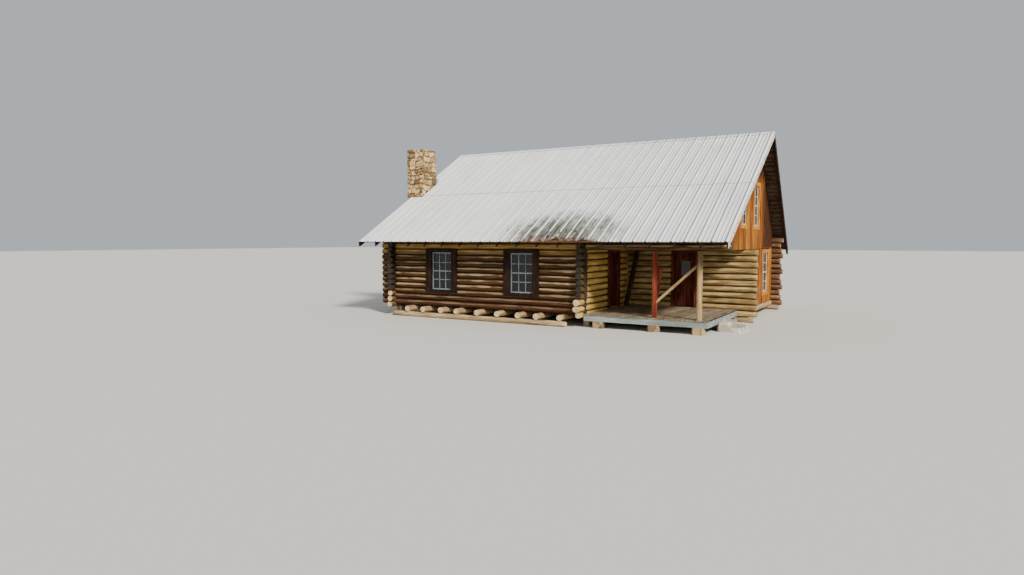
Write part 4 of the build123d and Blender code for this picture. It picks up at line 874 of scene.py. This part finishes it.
def stone_material(name, dark, mid, light, scale, cracked):
    """Rough fieldstone: matt, each stone of 1 / scale metres with a tone of its own, a grit
    drawn at 45 mm to show, and darker cracks between."""
    mat, tree, coord = blank(name, 0.9)
    tone = add(tree, "TexVoronoi", coord, None, scale, out="Color")
    tone = add(tree, "Math", tone, 7.0, operation="MULTIPLY")
    tone = add(tree, "TexWhiteNoise", None, tone, noise_dimensions="1D")
    tone = add(tree, "Math", tone, 0.6, operation="MULTIPLY")
    fine = add(tree, "TexNoise", coord, None, 22.0, 6.0, 0.55)
    both = add(tree, "Math", fine, 0.4, tone, operation="MULTIPLY_ADD")
    colour = add(tree, "ValToRGB", both, stops=((0.25, dark), (0.5, mid), (0.75, light)))
    joint = add(tree, "TexVoronoi", coord, None, scale, out="Distance", feature="DISTANCE_TO_EDGE")
    joint = add(tree, "MapRange", joint, 0.08, 0.02, 0.0, cracked, **eased)
    colour = add(tree, "MixRGB", joint, colour, lin("4d4438"))
    relief = add(tree, "Math", fine, 0.3, operation="MULTIPLY")
    relief = add(tree, "Math", relief, joint, operation="SUBTRACT")
    return coat(mat, colour, relief, 0.8, 0.03)


def rubble(across, z, seed):
    """Stones in uneven courses on one face: beds at random heights, bent by two sines, and in
    each bed joints at random places. It gives how far each point lies in, a stone's own setback
    plus a square fall in the last 35 mm to a joint, and its tone, -1 in the mortar."""
    r = np.random.default_rng(seed)
    long_wave = np.sin(across * 7.0 + r.uniform(0, 6))
    short_wave = np.sin(across * 17.0 + r.uniform(0, 6))
    warped = z + 0.022 * long_wave + 0.014 * short_wave
    beds = np.cumsum(np.concatenate([[-0.2], r.uniform(0.11, 0.27, 60)]))
    course = np.searchsorted(beds, warped) - 1
    inset, tone = np.zeros_like(z), np.zeros_like(z)
    for number in range(len(beds) - 1):
        here = course == number
        joints = np.cumsum(np.concatenate([[-9 + r.uniform(0, 0.3)], r.uniform(0.16, 0.46, 70)]))
        back, shade = r.uniform(0, 0.03, 71), r.uniform(0, 1, 71)
        lean = across[here] + 0.012 * np.sin(z[here] * 23.0)
        stone = np.searchsorted(joints, lean) - 1
        side = np.minimum(lean - joints[stone], joints[stone + 1] - lean)
        bed = np.minimum(warped[here] - beds[number], beds[number + 1] - warped[here])
        near = np.clip(1 - np.minimum(side, bed) / 0.035, 0, 1)
        inset[here] = back[stone] + 0.034 * near ** 2
        tone[here] = np.where(np.minimum(side, bed) < 0.012, -1.0, shade[stone])
    return inset, tone


def chimney_arrays():
    """Rings of a rectangle carried up the chimney, narrowing from 2.2 to 3.3 m at the shoulders,
    each point pushed in by the rubble of its face, and two smaller rings down the open flue."""
    lo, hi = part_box("chimney")
    levels = np.linspace(0, hi.z, 190)
    slope = np.clip((levels - 2.2) / 1.1, 0, 1)
    x0, x1 = np.full_like(levels, lo.x), hi.x - 0.375 * slope
    y0, y1 = lo.y + 0.4 * slope, hi.y - 0.4 * slope
    wide, deep = np.arange(50) / 50, np.arange(34) / 34
    steps = np.concatenate([wide, 1 + deep, 2 + wide, 3 + deep])
    face, part = np.floor(steps).astype(int), steps % 1.0
    zero, one = np.zeros_like(part), np.ones_like(part)
    fx = np.choose(face, [zero, part, one, 1 - part])
    fy = np.choose(face, [1 - part, zero, part, one])
    px = x0[:, None] + (x1 - x0)[:, None] * fx
    py = y0[:, None] + (y1 - y0)[:, None] * fy
    pz = np.broadcast_to(levels[:, None], px.shape).copy()
    inset, tone = np.zeros_like(px), np.zeros_like(px)
    for side in range(4):
        on = np.broadcast_to(face == side, px.shape)
        inset[on], tone[on] = rubble(np.where(side % 2, px, py)[on], pz[on], 500 + side)
    r = np.random.default_rng(77)
    inset += 0.004 * r.uniform(0, 1, inset.shape)
    px = np.clip(px, x0[:, None] + inset, x1[:, None] - inset)
    py = np.clip(py, y0[:, None] + inset, y1[:, None] - inset)
    mx, my = (x0[-1] + x1[-1]) / 2, (y0[-1] + y1[-1]) / 2
    flue_top, flue_foot = hi.z - 0.004, hi.z - 0.4
    for z in (flue_top, flue_foot):
        px = np.concatenate([px, [mx + 0.18 * (2 * fx - 1)]])
        py = np.concatenate([py, [my + 0.26 * (2 * fy - 1)]])
        pz = np.concatenate([pz, [np.full(len(fx), z)]])
        tone = np.concatenate([tone, [np.full(len(fx), -1.0)]])
    n, m = px.shape
    verts = np.stack([px, py, pz], -1).reshape(-1, 3)
    foot_middle = [(x0[0] + x1[0]) / 2, (y0[0] + y1[0]) / 2, 0]
    verts = np.concatenate([verts, [foot_middle], [[mx, my, flue_foot]]])
    k = np.arange((n - 1) * m).reshape(n - 1, m)
    nxt = np.roll(k, -1, axis=1)
    quads = np.stack([k, nxt, nxt + m, k + m], -1).reshape(-1, 4)
    ring = np.arange(m)
    last = (n - 1) * m
    foot = np.stack([np.roll(ring, -1), ring, np.full(m, n * m)], -1)
    well = np.stack([last + ring, last + np.roll(ring, -1), np.full(m, n * m + 1)], -1)
    return verts, quads, np.concatenate([foot, well]), np.concatenate([tone.ravel(), [-1.0, -1.0]])


def rubble_material():
    """Split sandstone: matt and tan, each stone with its own tone, a 40 mm grain drawn coarse to
    show, smoky patches of 0.2 m, and sandy mortar darker than the stones."""
    mat, tree, coord = blank("split_sandstone", 0.92)
    tone = add(tree, "Attribute", out="Fac", attribute_name="stone")
    fine = add(tree, "TexNoise", coord, None, 26.0, 6.0, 0.55)
    broad = add(tree, "Mapping", coord, Scale=(1, 1, 2))
    broad = add(tree, "TexNoise", broad, None, 5.0, 3.0, 0.55)
    mixed = add(tree, "Math", broad, 0.25, operation="MULTIPLY")
    mixed = add(tree, "Math", fine, 0.3, mixed, operation="MULTIPLY_ADD")
    mixed = add(tree, "Math", tone, 0.5, mixed, operation="MULTIPLY_ADD")
    tans = ((0.2, "4a3820"), (0.42, "86693e"), (0.62, "bd9c66"), (0.85, "e2cb9c"))
    colour = add(tree, "ValToRGB", mixed, stops=tans)
    mortar = add(tree, "ValToRGB", fine, stops=((0.4, "32281b"), (0.6, "66543a")))
    in_joint = add(tree, "MapRange", tone, 0.0, -0.5, **eased)
    colour = add(tree, "MixRGB", in_joint, colour, mortar)
    smoky = add(tree, "MapRange", broad, 0.52, 0.68, 0.0, 0.5, **eased)
    colour = add(tree, "MixRGB", smoky, colour, lin("3a3225"))
    return coat(mat, colour, fine, 0.5, 0.012)


verts, quads, tris, tone = chimney_arrays()
o = mesh_object("chimney_stones", verts, quads, tris, [rubble_material()], 0, 0)
stone_tone = o.data.attributes.new("stone", "FLOAT", "POINT")
stone_tone.data.foreach_set("value", tone.astype(np.float32))
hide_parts("chimney")

coat_nodes(stone_material("tan_fieldstone", "5b4930", "8d744e", "b09a72", 3.1, 0.5), "stone_piers")
coat_nodes(stone_material("pale_step_slabs", "9a9180", "bcb4a2", "d8d2c4", 2.6, 0.12), "porch_steps")

# Stage, light and camera: a plain pale ground, a hazy sky, the sun 37 degrees up at the front
# right, a weak fill from the front, and a lens that gives the photograph's perspective.

stage_mat = blank("stage_floor", 0.95)[0]
coat(stage_mat, lin("c9c6bf"))
bpy.ops.mesh.primitive_plane_add(size=400, location=(0, 0, -0.001))
floor = bpy.context.object
floor.name = "stage_floor"
floor.data.materials.append(stage_mat)

world = bpy.data.worlds.new("pale_world")
bpy.context.scene.world = world
world.use_nodes = True
world.node_tree.nodes["Background"].inputs["Color"].default_value = lin("dfe6ee")
world.node_tree.nodes["Background"].inputs["Strength"].default_value = 0.68

for name, strength, spread, tint, way in (
    ("key_light", 5.6, 10, (1.0, 0.95, 0.86), (-0.70, 0.42, -0.62)),
    ("fill_light", 0.9, 60, (1.0, 0.96, 0.9), (-0.3, 0.9, -0.12)),
):
    sun = bpy.data.lights.new(name, "SUN")
    sun.energy = strength
    sun.angle = math.radians(spread)
    sun.color = tint
    o = bpy.data.objects.new(name, sun)
    bpy.context.scene.collection.objects.link(o)
    o.rotation_mode = "QUATERNION"
    o.rotation_quaternion = Vector(way).to_track_quat("-Z", "Y")

camera = bpy.data.cameras.new("photo_camera")
camera.sensor_width = 36
focal_pixels, picture_pixels = 680.7, 1024
camera.lens = focal_pixels / picture_pixels * camera.sensor_width
camera.clip_end = 500
cam = bpy.data.objects.new("photo_camera", camera)
bpy.context.scene.collection.objects.link(cam)
cam.location = (right + 4.591, front - 20.327, 2.95)
yaw, pitch = -0.53, 0.069
look = Vector((math.sin(yaw) * math.cos(pitch), math.cos(yaw) * math.cos(pitch), -math.sin(pitch)))
cam.rotation_mode = "QUATERNION"
cam.rotation_quaternion = look.to_track_quat("-Z", "Y")
bpy.context.scene.camera = cam
